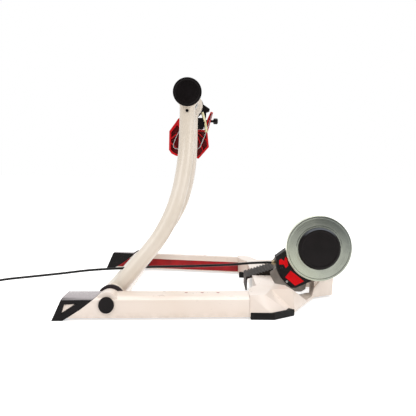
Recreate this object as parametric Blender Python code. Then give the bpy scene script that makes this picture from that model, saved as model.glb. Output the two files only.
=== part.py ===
"""Magnetic bike trainer: white folding frame, magnetic brake unit, cable and remote.

Metres, +Z up. +X is the rear of the bike, -Y is its left side. The origin is on the
floor, in the middle of the trainer's length and width.
"""

from math import cos, pi, radians, sin, tan

import bmesh
import bpy
from mathutils import Matrix, Vector

MM = 0.001

# Clearances
GAP = 0.3 * MM
RUN = 0.35 * MM

# Base: overall places
FRONT_TIP_X = -272.5 * MM
LEG_END_X = 62 * MM
LEG_TIP_HALF_WIDTH = 294 * MM
LEG_SPLAY = radians(7.2)
LEG_WIDTH = 45 * MM
LEG_BOTTOM_Z = 4.5 * MM
LEG_TOP_Z = 42 * MM
LEG_WALL = 2.5 * MM
SHOULDER_DROP = 7 * MM
LIP_DEPTH = 12 * MM
FOOT_TOP_LENGTH = 75.5 * MM
FOOT_BOTTOM_LENGTH = 18.5 * MM
FOOT_RAKE = 19 * MM
WINDOW_DEPTH = 6 * MM
LINER_THICKNESS = 3 * MM
CLIP_LENGTH = 5 * MM
CLIP_WIDTH = 1.6 * MM
CLIP_PITCH = 28 * MM
CLIP_FIRST_X = -49 * MM
CLIP_INSET = 29 * MM

# Hinge between base and arch
HINGE_X = -182 * MM
HINGE_Z = 28 * MM
HINGE_BOLT_RADIUS = 6 * MM
HINGE_CAP_WIDTH = 26 * MM
HINGE_CAP_HEIGHT = 28.5 * MM
HINGE_CAP_THICKNESS = 3 * MM
HINGE_DISC_RADIUS = 24.5 * MM
HINGE_DISC_THICKNESS = 4.4 * MM
HINGE_BORE_DEPTH = 28 * MM

# Arch
CROSS_TUBE_RADIUS = 22 * MM
CROSS_TUBE_WALL = 3 * MM
UPRIGHT_RADIUS = 15 * MM
UPRIGHT_WALL = 2.5 * MM
UPRIGHT_FOOT_Y = 209 * MM
UPRIGHT_TOP_Y = 117 * MM
AXLE_X = -58.5 * MM
AXLE_Z = 404 * MM
CLAMP_RADIUS = 25 * MM
CLAMP_WALL = 3 * MM
CLAMP_INNER_Y = 100 * MM
CLAMP_OUTER_Y = 141 * MM
END_CAP_RADIUS = 27.2 * MM
END_CAP_RIM = 4 * MM
END_CAP_PLUG = 12 * MM
GUIDE_LENGTH = 14 * MM
SPINDLE_RADIUS = 8 * MM
SPINDLE_LENGTH = 30 * MM
CUP_RADIUS = 15 * MM
CUP_BORE = 11 * MM
CUP_LENGTH = 14 * MM
CUP_DEPTH = 10 * MM
CUP_LIP_Y = 70 * MM
RING_RADIUS = 20 * MM
RING_THICKNESS = 8 * MM
RING_KNURLS = 24

# Quick lever on the right clamp
LEVER_PIVOT_Y = 159 * MM
LEVER_PIVOT_DROP = 31 * MM
LEVER_PIVOT_Z = AXLE_Z - LEVER_PIVOT_DROP
LEVER_THICKNESS = 12 * MM
LEVER_WEB = 2.5 * MM
LEVER_PIN_RADIUS = 3 * MM
KNOB_RADIUS = 7 * MM
STAY_RADIUS = 3.5 * MM
BAIL_RADIUS = 1.2 * MM

# Resistance unit
ROTOR_X = 208.5 * MM
ROTOR_Z = 107 * MM
FLYWHEEL_RADIUS = 65.5 * MM
FLYWHEEL_FACE_Y = -92 * MM
FLYWHEEL_THICKNESS = 16 * MM
HUB_CAP_RADIUS = 42 * MM
HUB_CAP_DEPTH = 8 * MM
SHAFT_RADIUS = 5 * MM
ROLLER_RADIUS = 20 * MM
ROLLER_LENGTH = 60 * MM
SLEEVE_THICKNESS = 3 * MM
BEARING_RADIUS = 13 * MM
BEARING_WIDTH = 8 * MM
CHEEK_THICKNESS = 4 * MM
BRAKE_DISC_RADIUS = 60 * MM
BRAKE_DISC_THICKNESS = 4 * MM
BRAKE_DISC_Y = -60 * MM
COVER_FRONT_Y = -74.5 * MM
COVER_WALL = 2.5 * MM
CARRIER_PIN_RADIUS = 2.5 * MM
CARRIER_HUB_RADIUS = 5.5 * MM
CARRIER_PIVOT_RADIUS = 84 * MM
CARRIER_PIVOT_ANGLE = 211
CARRIER_PLATE = 4 * MM
MAGNET_INNER_RADIUS = 44 * MM
MAGNET_THICKNESS = 3.5 * MM
MAGNET_GAP = 1.5 * MM
PLATE_WIDTH = 82 * MM
PLATE_LENGTH = 60 * MM
PLATE_SLOPE = radians(19)
PLATE_FRONT_X = ROTOR_X - 138.5 * MM
PLATE_FRONT_Z = 37 * MM
PLATE_THICKNESS = 3 * MM
PLATE_RIBS = 9
RIB_HEIGHT = 2 * MM
FLANGE_BOTTOM_Z = 10 * MM

# Rear deck
DECK_TOP_Z = 42 * MM
DECK_WALL = 2.5 * MM
REAR_FOOT_HEIGHT = 12 * MM
REAR_FOOT_DEPTH = 14 * MM
REAR_FOOT_PROUD = 1.5 * MM

# Cable and remote
CABLE_RADIUS = 2.5 * MM
CABLE_Y = -55 * MM
BARREL_RADIUS = 3.8 * MM
BARREL_LENGTH = 13 * MM
CABLE_Z = 71.7 * MM
CABLE_EXIT_X = ROTOR_X - 90.5 * MM
COIL_CENTRE = Vector((-470 * MM, -130 * MM, 0))
COIL_OUTER = 34.5 * MM
COIL_PITCH = 5.7 * MM
COIL_TURNS_PER_LAYER = 3
COIL_LOOP_POINTS = 24
COIL_CLIMB_INSET = 0.9 * MM
TAIL_LENGTH = 35 * MM

ROTOR = Vector((ROTOR_X, 0, ROTOR_Z))
AXLE = Vector((AXLE_X, 0, AXLE_Z))
HINGE = Vector((HINGE_X, 0, HINGE_Z))


def start():
    """Empty the file and make the two collections."""
    for old in list(bpy.data.objects):
        bpy.data.objects.remove(old)
    for name in ("trainer", "cutters"):
        collection = bpy.data.collections.new(name)
        bpy.context.scene.collection.children.link(collection)


def material(name, colour, roughness, metallic=0.0):
    """A Principled material, made once for each name."""
    found = bpy.data.materials.get(name)
    if found:
        return found
    made = bpy.data.materials.new(name)
    made.use_nodes = True
    made.diffuse_color = (*colour, 1)
    shader = made.node_tree.nodes["Principled BSDF"]
    shader.inputs["Base Color"].default_value = (*colour, 1)
    shader.inputs["Roughness"].default_value = roughness
    shader.inputs["Metallic"].default_value = metallic
    return made


def white_paint():
    return material("white_paint", (0.83, 0.76, 0.68), 0.3)


def black_plastic():
    return material("black_plastic", (0.02, 0.018, 0.018), 0.45)


def red_plastic():
    return material("red_plastic", (0.5, 0.01, 0.02), 0.4)


def grey_steel():
    return material("grey_steel", (0.28, 0.27, 0.26), 0.4, 0.8)


def bright_steel():
    return material("bright_steel", (0.6, 0.6, 0.6), 0.25, 1.0)


def zinc_steel():
    return material("zinc_steel", (0.44, 0.5, 0.44), 0.35, 1.0)


def yellow_zinc():
    return material("yellow_zinc", (0.62, 0.58, 0.42), 0.35, 1.0)


def brass():
    return material("brass", (0.6, 0.45, 0.25), 0.35, 1.0)


def rubber():
    return material("rubber", (0.03, 0.03, 0.03), 0.8)


def link(name, mesh, finish, group="trainer"):
    """A new object of this mesh, with its own material slot."""
    piece = bpy.data.objects.new(name, mesh)
    mesh.materials.clear()
    mesh.materials.append(finish)
    bpy.data.collections[group].objects.link(piece)
    if group == "cutters":
        piece.hide_render = True
        piece.display_type = "WIRE"
    return piece


def smooth(piece, angle=40):
    piece.data.shade_smooth()
    piece.data.set_sharp_from_angle(angle=radians(angle))
    return piece


def meshed(curve_object):
    """A curve object made a mesh with welded caps, in world coordinates."""
    bpy.context.view_layer.update()
    graph = bpy.context.evaluated_depsgraph_get()
    mesh = bpy.data.meshes.new_from_object(curve_object.evaluated_get(graph))
    mesh.transform(curve_object.matrix_world)
    shape = bmesh.new()
    shape.from_mesh(mesh)
    bmesh.ops.remove_doubles(shape, verts=shape.verts, dist=0.00001)
    bmesh.ops.recalc_face_normals(shape, faces=shape.faces)
    shape.to_mesh(mesh)
    shape.free()
    curve = curve_object.data
    bpy.data.objects.remove(curve_object)
    bpy.data.curves.remove(curve)
    return mesh


def slab(name, outline, low, high, plane, finish, group="trainer"):
    """A flat outline given thickness: plane XY rises along Z, XZ runs along Y."""
    curve = bpy.data.curves.new(name, "CURVE")
    curve.dimensions = "2D"
    curve.fill_mode = "BOTH"
    curve.extrude = (high - low) / 2
    spline = curve.splines.new("POLY")
    spline.points.add(len(outline) - 1)
    for point, (x, y) in zip(spline.points, outline):
        point.co = (x, y, 0, 1)
    spline.use_cyclic_u = True
    flat = bpy.data.objects.new(name, curve)
    bpy.context.scene.collection.objects.link(flat)
    middle = (low + high) / 2
    if plane == "XY":
        flat.location.z = middle
    elif plane == "XZ":
        flat.rotation_euler.x = pi / 2
        flat.location.y = middle
    else:
        flat.rotation_euler = (pi / 2, 0, pi / 2)
        flat.location.x = middle
    return link(name, meshed(flat), finish, group)


def box(name, low, high, finish, group="trainer"):
    """A block between two corners."""
    shape = bmesh.new()
    size = [b - a for a, b in zip(low, high)]
    middle = [(a + b) / 2 for a, b in zip(low, high)]
    bmesh.ops.create_cube(shape, size=1)
    bmesh.ops.scale(shape, vec=size, verts=shape.verts)
    bmesh.ops.translate(shape, vec=middle, verts=shape.verts)
    mesh = bpy.data.meshes.new(name)
    shape.to_mesh(mesh)
    shape.free()
    return link(name, mesh, finish, group)


def rod(name, centre, axis, radius, low, high, finish, sides=32, group="trainer"):
    """A round bar along X, Y or Z through a centre, from low to high on that axis."""
    shape = bmesh.new()
    bmesh.ops.create_cone(
        shape, cap_ends=True, segments=sides, radius1=radius, radius2=radius, depth=high - low
    )
    turn = {"X": Matrix.Rotation(pi / 2, 4, "Y"), "Y": Matrix.Rotation(pi / 2, 4, "X")}
    shape.transform(turn.get(axis, Matrix()))
    place = Vector(centre)
    place["XYZ".index(axis)] = (low + high) / 2
    bmesh.ops.translate(shape, vec=place, verts=shape.verts)
    mesh = bpy.data.meshes.new(name)
    shape.to_mesh(mesh)
    shape.free()
    return smooth(link(name, mesh, finish, group))


def turned(name, profile, centre, axis, finish, sides=40, group="trainer"):
    """A turned shape: profile is (radius, place on the axis), up its outer side."""
    mesh = bpy.data.meshes.new(name)
    shape = bmesh.new()
    points = [shape.verts.new((radius, 0, place)) for radius, place in profile]
    closed = profile[0][0] > 0
    pairs = list(zip(points, points[1:]))
    if closed:
        pairs.append((points[-1], points[0]))
    for pair in pairs:
        shape.edges.new(pair)
    bmesh.ops.spin(
        shape,
        geom=shape.verts[:] + shape.edges[:],
        cent=(0, 0, 0),
        axis=(0, 0, 1),
        angle=2 * pi,
        steps=sides,
        use_merge=True,
    )
    bmesh.ops.remove_doubles(shape, verts=shape.verts, dist=0.00001)
    bmesh.ops.recalc_face_normals(shape, faces=shape.faces)
    if axis == "Y":
        shape.transform(Matrix.Rotation(-pi / 2, 4, "X"))
    if axis == "X":
        shape.transform(Matrix.Rotation(pi / 2, 4, "Y"))
    bmesh.ops.translate(shape, vec=centre, verts=shape.verts)
    shape.to_mesh(mesh)
    shape.free()
    return smooth(link(name, mesh, finish, group))


def tube(name, points, radius, finish, resolution=2, group="trainer"):
    """A round tube or wire along a line of points."""
    curve = bpy.data.curves.new(name, "CURVE")
    curve.dimensions = "3D"
    curve.bevel_depth = radius
    curve.bevel_resolution = resolution
    curve.use_fill_caps = True
    spline = curve.splines.new("POLY")
    spline.points.add(len(points) - 1)
    for point, place in zip(spline.points, points):
        point.co = (*place, 1)
    piece = bpy.data.objects.new(name, curve)
    bpy.context.scene.collection.objects.link(piece)
    return smooth(link(name, meshed(piece), finish, group))


def boolean(piece, other, operation):
    """Cut or join with another object, which ends up among the cutters."""
    modifier = piece.modifiers.new(other.name, "BOOLEAN")
    modifier.operation = operation
    modifier.object = other
    modifier.solver = "EXACT"
    for group in list(other.users_collection):
        group.objects.unlink(other)
    bpy.data.collections["cutters"].objects.link(other)
    other.hide_render = True
    other.display_type = "WIRE"
    return piece


def cut(piece, *cutters):
    for cutter in cutters:
        boolean(piece, cutter, "DIFFERENCE")
    return piece


def join(piece, *others):
    for other in others:
        boolean(piece, other, "UNION")
    return piece


def mirrored(points, side):
    """The outline on the left (side -1) or right (side 1), from one given with |y|."""
    return [(x, side * y) for x, y in points]


def arc(centre, radius, first, last, count):
    """Points on an arc, angles in degrees, both ends included."""
    steps = [first + (last - first) * i / (count - 1) for i in range(count)]
    return [
        (centre[0] + radius * cos(radians(a)), centre[1] + radius * sin(radians(a)))
        for a in steps
    ]


def spline_points(knots, count):
    """Points spread evenly along a smooth curve through the knots."""
    fine = []
    padded = [2 * knots[0] - knots[1], *knots, 2 * knots[-1] - knots[-2]]
    for a, b, c, d in zip(padded, padded[1:], padded[2:], padded[3:]):
        for i in range(24):
            t = i / 24
            fine.append(
                0.5
                * (
                    2 * b
                    + (c - a) * t
                    + (2 * a - 5 * b + 4 * c - d) * t**2
                    + (3 * b - a - 3 * c + d) * t**3
                )
            )
    fine.append(knots[-1])
    lengths = [0.0]
    for a, b in zip(fine, fine[1:]):
        lengths.append(lengths[-1] + (b - a).length)
    result = []
    place = 0
    for i in range(count):
        wanted = lengths[-1] * i / (count - 1)
        while place < len(fine) - 2 and lengths[place + 1] < wanted:
            place += 1
        share = (wanted - lengths[place]) / (lengths[place + 1] - lengths[place])
        result.append(fine[place].lerp(fine[place + 1], min(max(share, 0), 1)))
    return result


def empty(name, place):
    """An empty on a joint's axis, which carries what turns or slides there."""
    pivot = bpy.data.objects.new(name, None)
    pivot.location = place
    bpy.data.collections["trainer"].objects.link(pivot)
    return pivot


def carry(pivot, *pieces):
    """Parent pieces to an empty and keep them where they are."""
    for piece in pieces:
        piece.parent = pivot
        piece.matrix_parent_inverse = Matrix.Translation(-Vector(pivot.location))


def leg_outer_y(x):
    """Half width of the trainer at the outer face of a leg."""
    return LEG_TIP_HALF_WIDTH - (x - FRONT_TIP_X) * tan(LEG_SPLAY)


def leg_inner_y(x):
    return leg_outer_y(x) - LEG_WIDTH


def splay(piece, side):
    """Shear a piece built square so that it follows the leg's splay."""
    for vertex in piece.data.vertices:
        vertex.co.y -= side * vertex.co.x * tan(LEG_SPLAY)
    return piece


def across(side, section):
    """A leg section given as (inward from the outer face, height), placed at x = 0."""
    return [(side * (leg_outer_y(0) - u), z) for u, z in section]


def inset(outline, distance):
    """A closed outline moved inwards by a distance, corners kept sharp."""
    area = sum(a[0] * b[1] - b[0] * a[1] for a, b in zip(outline, outline[1:] + outline[:1]))
    turn = 1 if area > 0 else -1
    result = []
    for before, here, after in zip([outline[-1]] + outline[:-1], outline, outline[1:] + outline[:1]):
        first = (Vector(here) - Vector(before)).normalized()
        second = (Vector(after) - Vector(here)).normalized()
        inward = Vector((-first.y, first.x)) * turn + Vector((-second.y, second.x)) * turn
        share = distance / max(1 + first.dot(second), 0.2)
        result.append((here[0] + inward.x * share, here[1] + inward.y * share))
    return result


def loft(name, low, low_z, high, high_z, finish, group="trainer"):
    """A solid between two outlines with the same number of corners."""
    shape = bmesh.new()
    bottom = [shape.verts.new((x, y, low_z)) for x, y in low]
    top = [shape.verts.new((x, y, high_z)) for x, y in high]
    shape.faces.new(bottom)
    shape.faces.new(top)
    count = len(low)
    for i in range(count):
        j = (i + 1) % count
        shape.faces.new((bottom[i], bottom[j], top[j], top[i]))
    bmesh.ops.recalc_face_normals(shape, faces=shape.faces)
    mesh = bpy.data.meshes.new(name)
    shape.to_mesh(mesh)
    shape.free()
    return link(name, mesh, finish, group)


CROSS_END_Y = leg_inner_y(HINGE_X + HINGE_DISC_RADIUS) - HINGE_DISC_THICKNESS - 2 * GAP
CROSS_BORE_Y = CROSS_END_Y - HINGE_BORE_DEPTH


def leg_section():
    """Outer outline of a leg: flat outer face, sloping shoulder, higher inner edge."""
    return [
        (0, LEG_TOP_Z - SHOULDER_DROP),
        (5 * MM, LEG_TOP_Z - 0.5 * SHOULDER_DROP),
        (16 * MM, LEG_TOP_Z - 0.15 * SHOULDER_DROP),
        (30 * MM, LEG_TOP_Z),
        (LEG_WIDTH, LEG_TOP_Z),
    ]


def leg_channel():
    """The pressed channel: outer outline, then back along the inside of the wall."""
    outer = [(LEG_WIDTH, LEG_BOTTOM_Z), (0, LEG_BOTTOM_Z), *leg_section()]
    lip_end = LEG_TOP_Z - LIP_DEPTH
    inside = [
        (LEG_WIDTH, lip_end),
        (LEG_WIDTH - LEG_WALL, lip_end),
        (LEG_WIDTH - LEG_WALL, LEG_TOP_Z - LEG_WALL),
        (30 * MM, LEG_TOP_Z - LEG_WALL),
        (16 * MM, LEG_TOP_Z - 0.15 * SHOULDER_DROP - LEG_WALL),
        (6.5 * MM, LEG_TOP_Z - 0.5 * SHOULDER_DROP - LEG_WALL),
        (LEG_WALL, LEG_TOP_Z - SHOULDER_DROP - 1 * MM),
        (LEG_WALL, LEG_BOTTOM_Z + LEG_WALL),
        (LEG_WIDTH, LEG_BOTTOM_Z + LEG_WALL),
    ]
    return outer + inside


def foot_side_outline(grow=0.0):
    """The front foot seen from the side; grow moves its rear edge back."""
    tip = FRONT_TIP_X
    return [
        (tip, 0),
        (tip + FOOT_RAKE - 3 * MM, LEG_TOP_Z - 4 * MM),
        (tip + FOOT_RAKE, LEG_TOP_Z),
        (tip + FOOT_TOP_LENGTH + grow, LEG_TOP_Z),
        (tip + FOOT_BOTTOM_LENGTH + 0.52 * (FOOT_TOP_LENGTH - FOOT_BOTTOM_LENGTH) + grow, 20 * MM),
        (tip + FOOT_BOTTOM_LENGTH + 8 * MM + grow, LEG_BOTTOM_Z + 1 * MM),
        (tip + FOOT_BOTTOM_LENGTH + grow, 0),
    ]


def hinge_boss(side, radius, low_u, high_u, name, group="trainer"):
    """A round bar on the hinge axis between two distances in from the outer face."""
    outer = leg_outer_y(HINGE_X)
    ends = sorted((side * (outer - low_u), side * (outer - high_u)))
    return rod(name, HINGE, "Y", radius, *ends, white_paint(), 28, group)


def space_ahead(name, side):
    """Cutter for all that lies ahead of the front foot's slanted rear edge."""
    wide = ends(side, leg_inner_y(LEG_END_X) - 20 * MM, LEG_TIP_HALF_WIDTH + 20 * MM)
    front = foot_side_outline(GAP)
    front[0] = (FRONT_TIP_X - 20 * MM, -20 * MM)
    front[1] = (FRONT_TIP_X - 20 * MM, LEG_TOP_Z)
    front[2] = (FRONT_TIP_X - 20 * MM, LEG_TOP_Z + 20 * MM)
    front[3] = (front[3][0], LEG_TOP_Z + 20 * MM)
    front.insert(4, (FRONT_TIP_X + FOOT_TOP_LENGTH + GAP, LEG_TOP_Z))
    front[-1] = (front[-1][0], -20 * MM)
    return slab(name, front, *wide, "XZ", white_paint(), "cutters")


def make_leg(name, side):
    section = across(side, leg_channel())
    leg = slab(name, section, FRONT_TIP_X, LEG_END_X - GAP, "YZ", white_paint())
    splay(leg, side)
    boss = hinge_boss(side, 20 * MM, 4 * MM, LEG_WIDTH - LINER_THICKNESS - 4 * MM, name + "_boss")
    join(leg, boss)
    ahead = space_ahead(name + "_ahead", side)
    bore_depths = (-5 * MM, LEG_WIDTH + 5 * MM)
    bore = hinge_boss(side, HINGE_BOLT_RADIUS + RUN, *bore_depths, name + "_bore", "cutters")
    cut(leg, ahead, bore)
    for number, x in enumerate(clip_places()):
        cut(leg, clip_slot(f"{name}_slot_{number}", side, x))
    return leg


def clip_places():
    return [CLIP_FIRST_X + CLIP_PITCH * i for i in range(3)]


def clip_slot(name, side, x):
    """A slot in the leg's top, through which a liner clip shows."""
    half = CLIP_WIDTH / 2 + GAP
    outline = [
        (CLIP_INSET - half, LEG_TOP_Z - 10 * MM),
        (CLIP_INSET + half, LEG_TOP_Z - 10 * MM),
        (CLIP_INSET + half, LEG_TOP_Z + 10 * MM),
        (CLIP_INSET - half, LEG_TOP_Z + 10 * MM),
    ]
    length = CLIP_LENGTH / 2 + GAP
    slot = slab(name, across(side, outline), x - length, x + length, "YZ", red_plastic(), "cutters")
    return splay(slot, side)


def liner_clip(name, side, x):
    """A clip of the liner: up behind the leg's lip and into the slot of its top."""
    back = LEG_WIDTH - LINER_THICKNESS
    half = CLIP_WIDTH / 2
    low = LEG_BOTTOM_Z + 15 * MM
    shelf = LEG_TOP_Z - 7.5 * MM
    liner_top = LEG_TOP_Z - LIP_DEPTH - GAP
    outline = [
        (back + 1 * MM, low),
        (back - 2 * MM, low),
        (back - 2 * MM, shelf - 2 * MM),
        (CLIP_INSET - half, shelf - 2 * MM),
        (CLIP_INSET - half, LEG_TOP_Z + GAP),
        (CLIP_INSET + half, LEG_TOP_Z + GAP),
        (CLIP_INSET + half, shelf),
        (back, shelf),
        (back, liner_top - 1 * MM),
        (back + 1 * MM, liner_top - 1 * MM),
    ]
    ends_x = (x - CLIP_LENGTH / 2, x + CLIP_LENGTH / 2)
    made = slab(name, across(side, outline), *ends_x, "YZ", red_plastic(), "cutters")
    return splay(made, side)


def make_front_foot(name, side):
    full = [(LEG_WIDTH, 0), (0, 0), *leg_section()]
    run = (FRONT_TIP_X - 5 * MM, FRONT_TIP_X + FOOT_TOP_LENGTH + 15 * MM)
    foot = slab(name, across(side, full), *run, "YZ", black_plastic())
    splay(foot, side)
    wide = sorted((side * (leg_inner_y(0) - 20 * MM), side * (LEG_TIP_HALF_WIDTH + 20 * MM)))
    shape = slab(name + "_side", foot_side_outline(), *wide, "XZ", black_plastic(), "cutters")
    boolean(foot, shape, "INTERSECT")
    window = [
        (FRONT_TIP_X + 16 * MM, 12 * MM),
        (FRONT_TIP_X + 20 * MM, 28 * MM),
        (FRONT_TIP_X + 41 * MM, 29 * MM),
    ]
    face = leg_outer_y(0)
    depths = ends(side, face - WINDOW_DEPTH, face + 5 * MM)
    pocket = slab(name + "_window", window, *depths, "XZ", black_plastic(), "cutters")
    cut(foot, splay(pocket, side))
    return foot


def make_liner(name, side):
    section = [
        (LEG_WIDTH - LINER_THICKNESS, LEG_BOTTOM_Z + LEG_WALL + GAP),
        (LEG_WIDTH, LEG_BOTTOM_Z + LEG_WALL + GAP),
        (LEG_WIDTH, LEG_TOP_Z - LIP_DEPTH - GAP),
        (LEG_WIDTH - LINER_THICKNESS, LEG_TOP_Z - LIP_DEPTH - GAP),
    ]
    liner = slab(name, across(side, section), FRONT_TIP_X, LEG_END_X - GAP, "YZ", red_plastic())
    splay(liner, side)
    hole = hinge_boss(side, HINGE_BOLT_RADIUS + RUN, 0, LEG_WIDTH + 5 * MM, name + "_hole", "cutters")
    cut(liner, hole, space_ahead(name + "_ahead", side))
    for number, x in enumerate(clip_places()):
        join(liner, liner_clip(f"{name}_clip_{number}", side, x))
    return liner


def make_hinge(side, word):
    """The oval cap, the bolt and the friction disc of one side."""
    cap_outline = [
        (HINGE_X + HINGE_CAP_WIDTH / 2 * cos(a), HINGE_Z - 1 * MM + HINGE_CAP_HEIGHT / 2 * sin(a))
        for a in [2 * pi * i / 28 for i in range(28)]
    ]
    face = leg_outer_y(0)
    ends = sorted((side * (face + GAP), side * (face + GAP + HINGE_CAP_THICKNESS)))
    cap = slab(word + "_hinge_cap", cap_outline, *ends, "XZ", black_plastic())
    splay(cap, side)
    bolt_ends = sorted((side * (leg_outer_y(HINGE_X) - 1.5 * MM), side * CROSS_BORE_Y))
    rod(word + "_hinge_bolt", HINGE, "Y", HINGE_BOLT_RADIUS, *bolt_ends, bright_steel(), 24)
    disc_outer = leg_inner_y(HINGE_X + HINGE_DISC_RADIUS) - GAP
    profile = [
        (HINGE_BOLT_RADIUS + RUN, side * (CROSS_END_Y + GAP)),
        (HINGE_DISC_RADIUS, side * (CROSS_END_Y + GAP)),
        (HINGE_DISC_RADIUS, side * disc_outer),
        (HINGE_BOLT_RADIUS + RUN, side * disc_outer),
    ]
    turned(word + "_hinge_disc", profile, HINGE, "Y", black_plastic(), 40)


def deck_low():
    """Half of the deck's outline on the floor side, front to rear."""
    return [
        (80 * MM, 154 * MM),
        (68 * MM, 175 * MM),
        (LEG_END_X, leg_inner_y(LEG_END_X)),
        (LEG_END_X, leg_outer_y(LEG_END_X)),
        (106 * MM, 249 * MM),
        (ROTOR_X - 66 * MM, 216 * MM),
        (ROTOR_X - 60 * MM, 202 * MM),
        (ROTOR_X - 29 * MM, 130 * MM),
        (ROTOR_X - 5 * MM, 74 * MM),
        (ROTOR_X + 15 * MM, 57 * MM),
        (ROTOR_X + 39 * MM, 41 * MM),
    ]


RIDGE_TOP = (ROTOR_X - 63.5 * MM, 186 * MM)
PANEL_FALL = 0.67
PANEL_DIP = 0.135
PANEL_LOW_Z = 9 * MM
PANEL_INNER_Y = 45 * MM
PANEL_REAR_X = ROTOR_X - 9 * MM


def deck_high():
    """The same corners on the top, drawn in where the deck has its facets."""
    return [
        (80 * MM, 154 * MM),
        (68 * MM, 175 * MM),
        (LEG_END_X, leg_inner_y(LEG_END_X)),
        (LEG_END_X, leg_outer_y(LEG_END_X) - 5 * MM),
        (90 * MM, 238 * MM),
        (106 * MM, 184 * MM),
        RIDGE_TOP,
        (ROTOR_X - 29 * MM, 97 * MM),
        (ROTOR_X - 5 * MM, 69 * MM),
        (ROTOR_X + 15 * MM, 55 * MM),
        (ROTOR_X + 40 * MM, 42 * MM),
    ]


def deck_well():
    """Half of the opening that the brake unit stands in."""
    return [
        (ROTOR_X - 90.5 * MM, 129 * MM),
        (ROTOR_X - 72 * MM, 144 * MM),
        (ROTOR_X - 40.5 * MM, 72 * MM),
        (ROTOR_X - 18.5 * MM, 50 * MM),
        (ROTOR_X + 17.5 * MM, 30 * MM),
    ]


def both_sides(half):
    return half + [(x, -y) for x, y in reversed(half)]


def rear_foot_outline(grow=0.0):
    """The strip under the outer edge of the deck, given with |y|."""
    a, b, c = deck_low()[3:6]
    outward = REAR_FOOT_PROUD + grow
    inward = REAR_FOOT_DEPTH + grow
    first = Vector((b[0] - a[0], b[1] - a[1])).normalized()
    second = Vector((c[0] - b[0], c[1] - b[1])).normalized()
    normal_a = Vector((-first.y, first.x))
    normal_b = Vector((-second.y, second.x))
    corner = (normal_a + normal_b) / (1 + first.dot(second))
    a = Vector(a) + first * (3 * MM - grow)
    b = Vector(b)
    c = Vector(c) + second * (4 * MM + grow)
    return [
        tuple(a + normal_a * outward),
        tuple(b + corner * outward),
        tuple(c + normal_b * outward),
        tuple(c - normal_b * inward),
        tuple(b - corner * inward),
        tuple(a - normal_a * inward),
    ]


def pad_corners(side, grow=0.0):
    low = (63 * MM - grow, 160 * MM - grow)
    high = (79 * MM + grow, 176 * MM + grow)
    ys = sorted((side * low[1], side * high[1]))
    return (low[0], ys[0], -grow), (high[0], ys[1], REAR_FOOT_HEIGHT + grow)


def plate_under_z(x):
    """Height of the sloping plate's underside."""
    return PLATE_FRONT_Z - PLATE_THICKNESS / cos(PLATE_SLOPE) + (x - PLATE_FRONT_X) * tan(PLATE_SLOPE)


WALL_HOLE = (0, -56 * MM, 16 * MM)
WALL_HOLE_RADIUS = 2 * MM
COVER_RECESS = [(-68.5, 20), (-40.5, 20), (-3.5, 36), (-3.5, 60), (-68.5, 60)]


def panel_space(name, side, wall=0.0):
    """Cutter for the space over the sloping rear panel; wall takes it that much further."""
    x, y = RIDGE_TOP
    reach = 60 * MM
    high_z = 120 * MM
    edge_z = DECK_TOP_Z - 1.25 * wall
    wedge = [
        (x - reach, high_z),
        (x - reach, edge_z + PANEL_FALL * reach),
        (x + reach, edge_z - PANEL_FALL * reach),
        (x + reach, high_z),
    ]
    ys = ends(side, PANEL_INNER_Y - wall, 280 * MM)
    space = slab(name, wedge, *ys, "XZ", white_paint(), "cutters")
    for vertex in space.data.vertices:
        vertex.co.z += PANEL_DIP * (abs(vertex.co.y) - y)
    low_z = PANEL_LOW_Z - wall
    rear = PANEL_REAR_X + wall
    lean = 12 * MM
    bounds = [
        (x - reach, low_z),
        (rear, low_z),
        (rear + lean, DECK_TOP_Z),
        (rear + lean, high_z),
        (x - reach, high_z),
    ]
    limit = slab(name + "_limit", bounds, *ys, "XZ", white_paint(), "cutters")
    boolean(space, limit, "INTERSECT")
    return space


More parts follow.
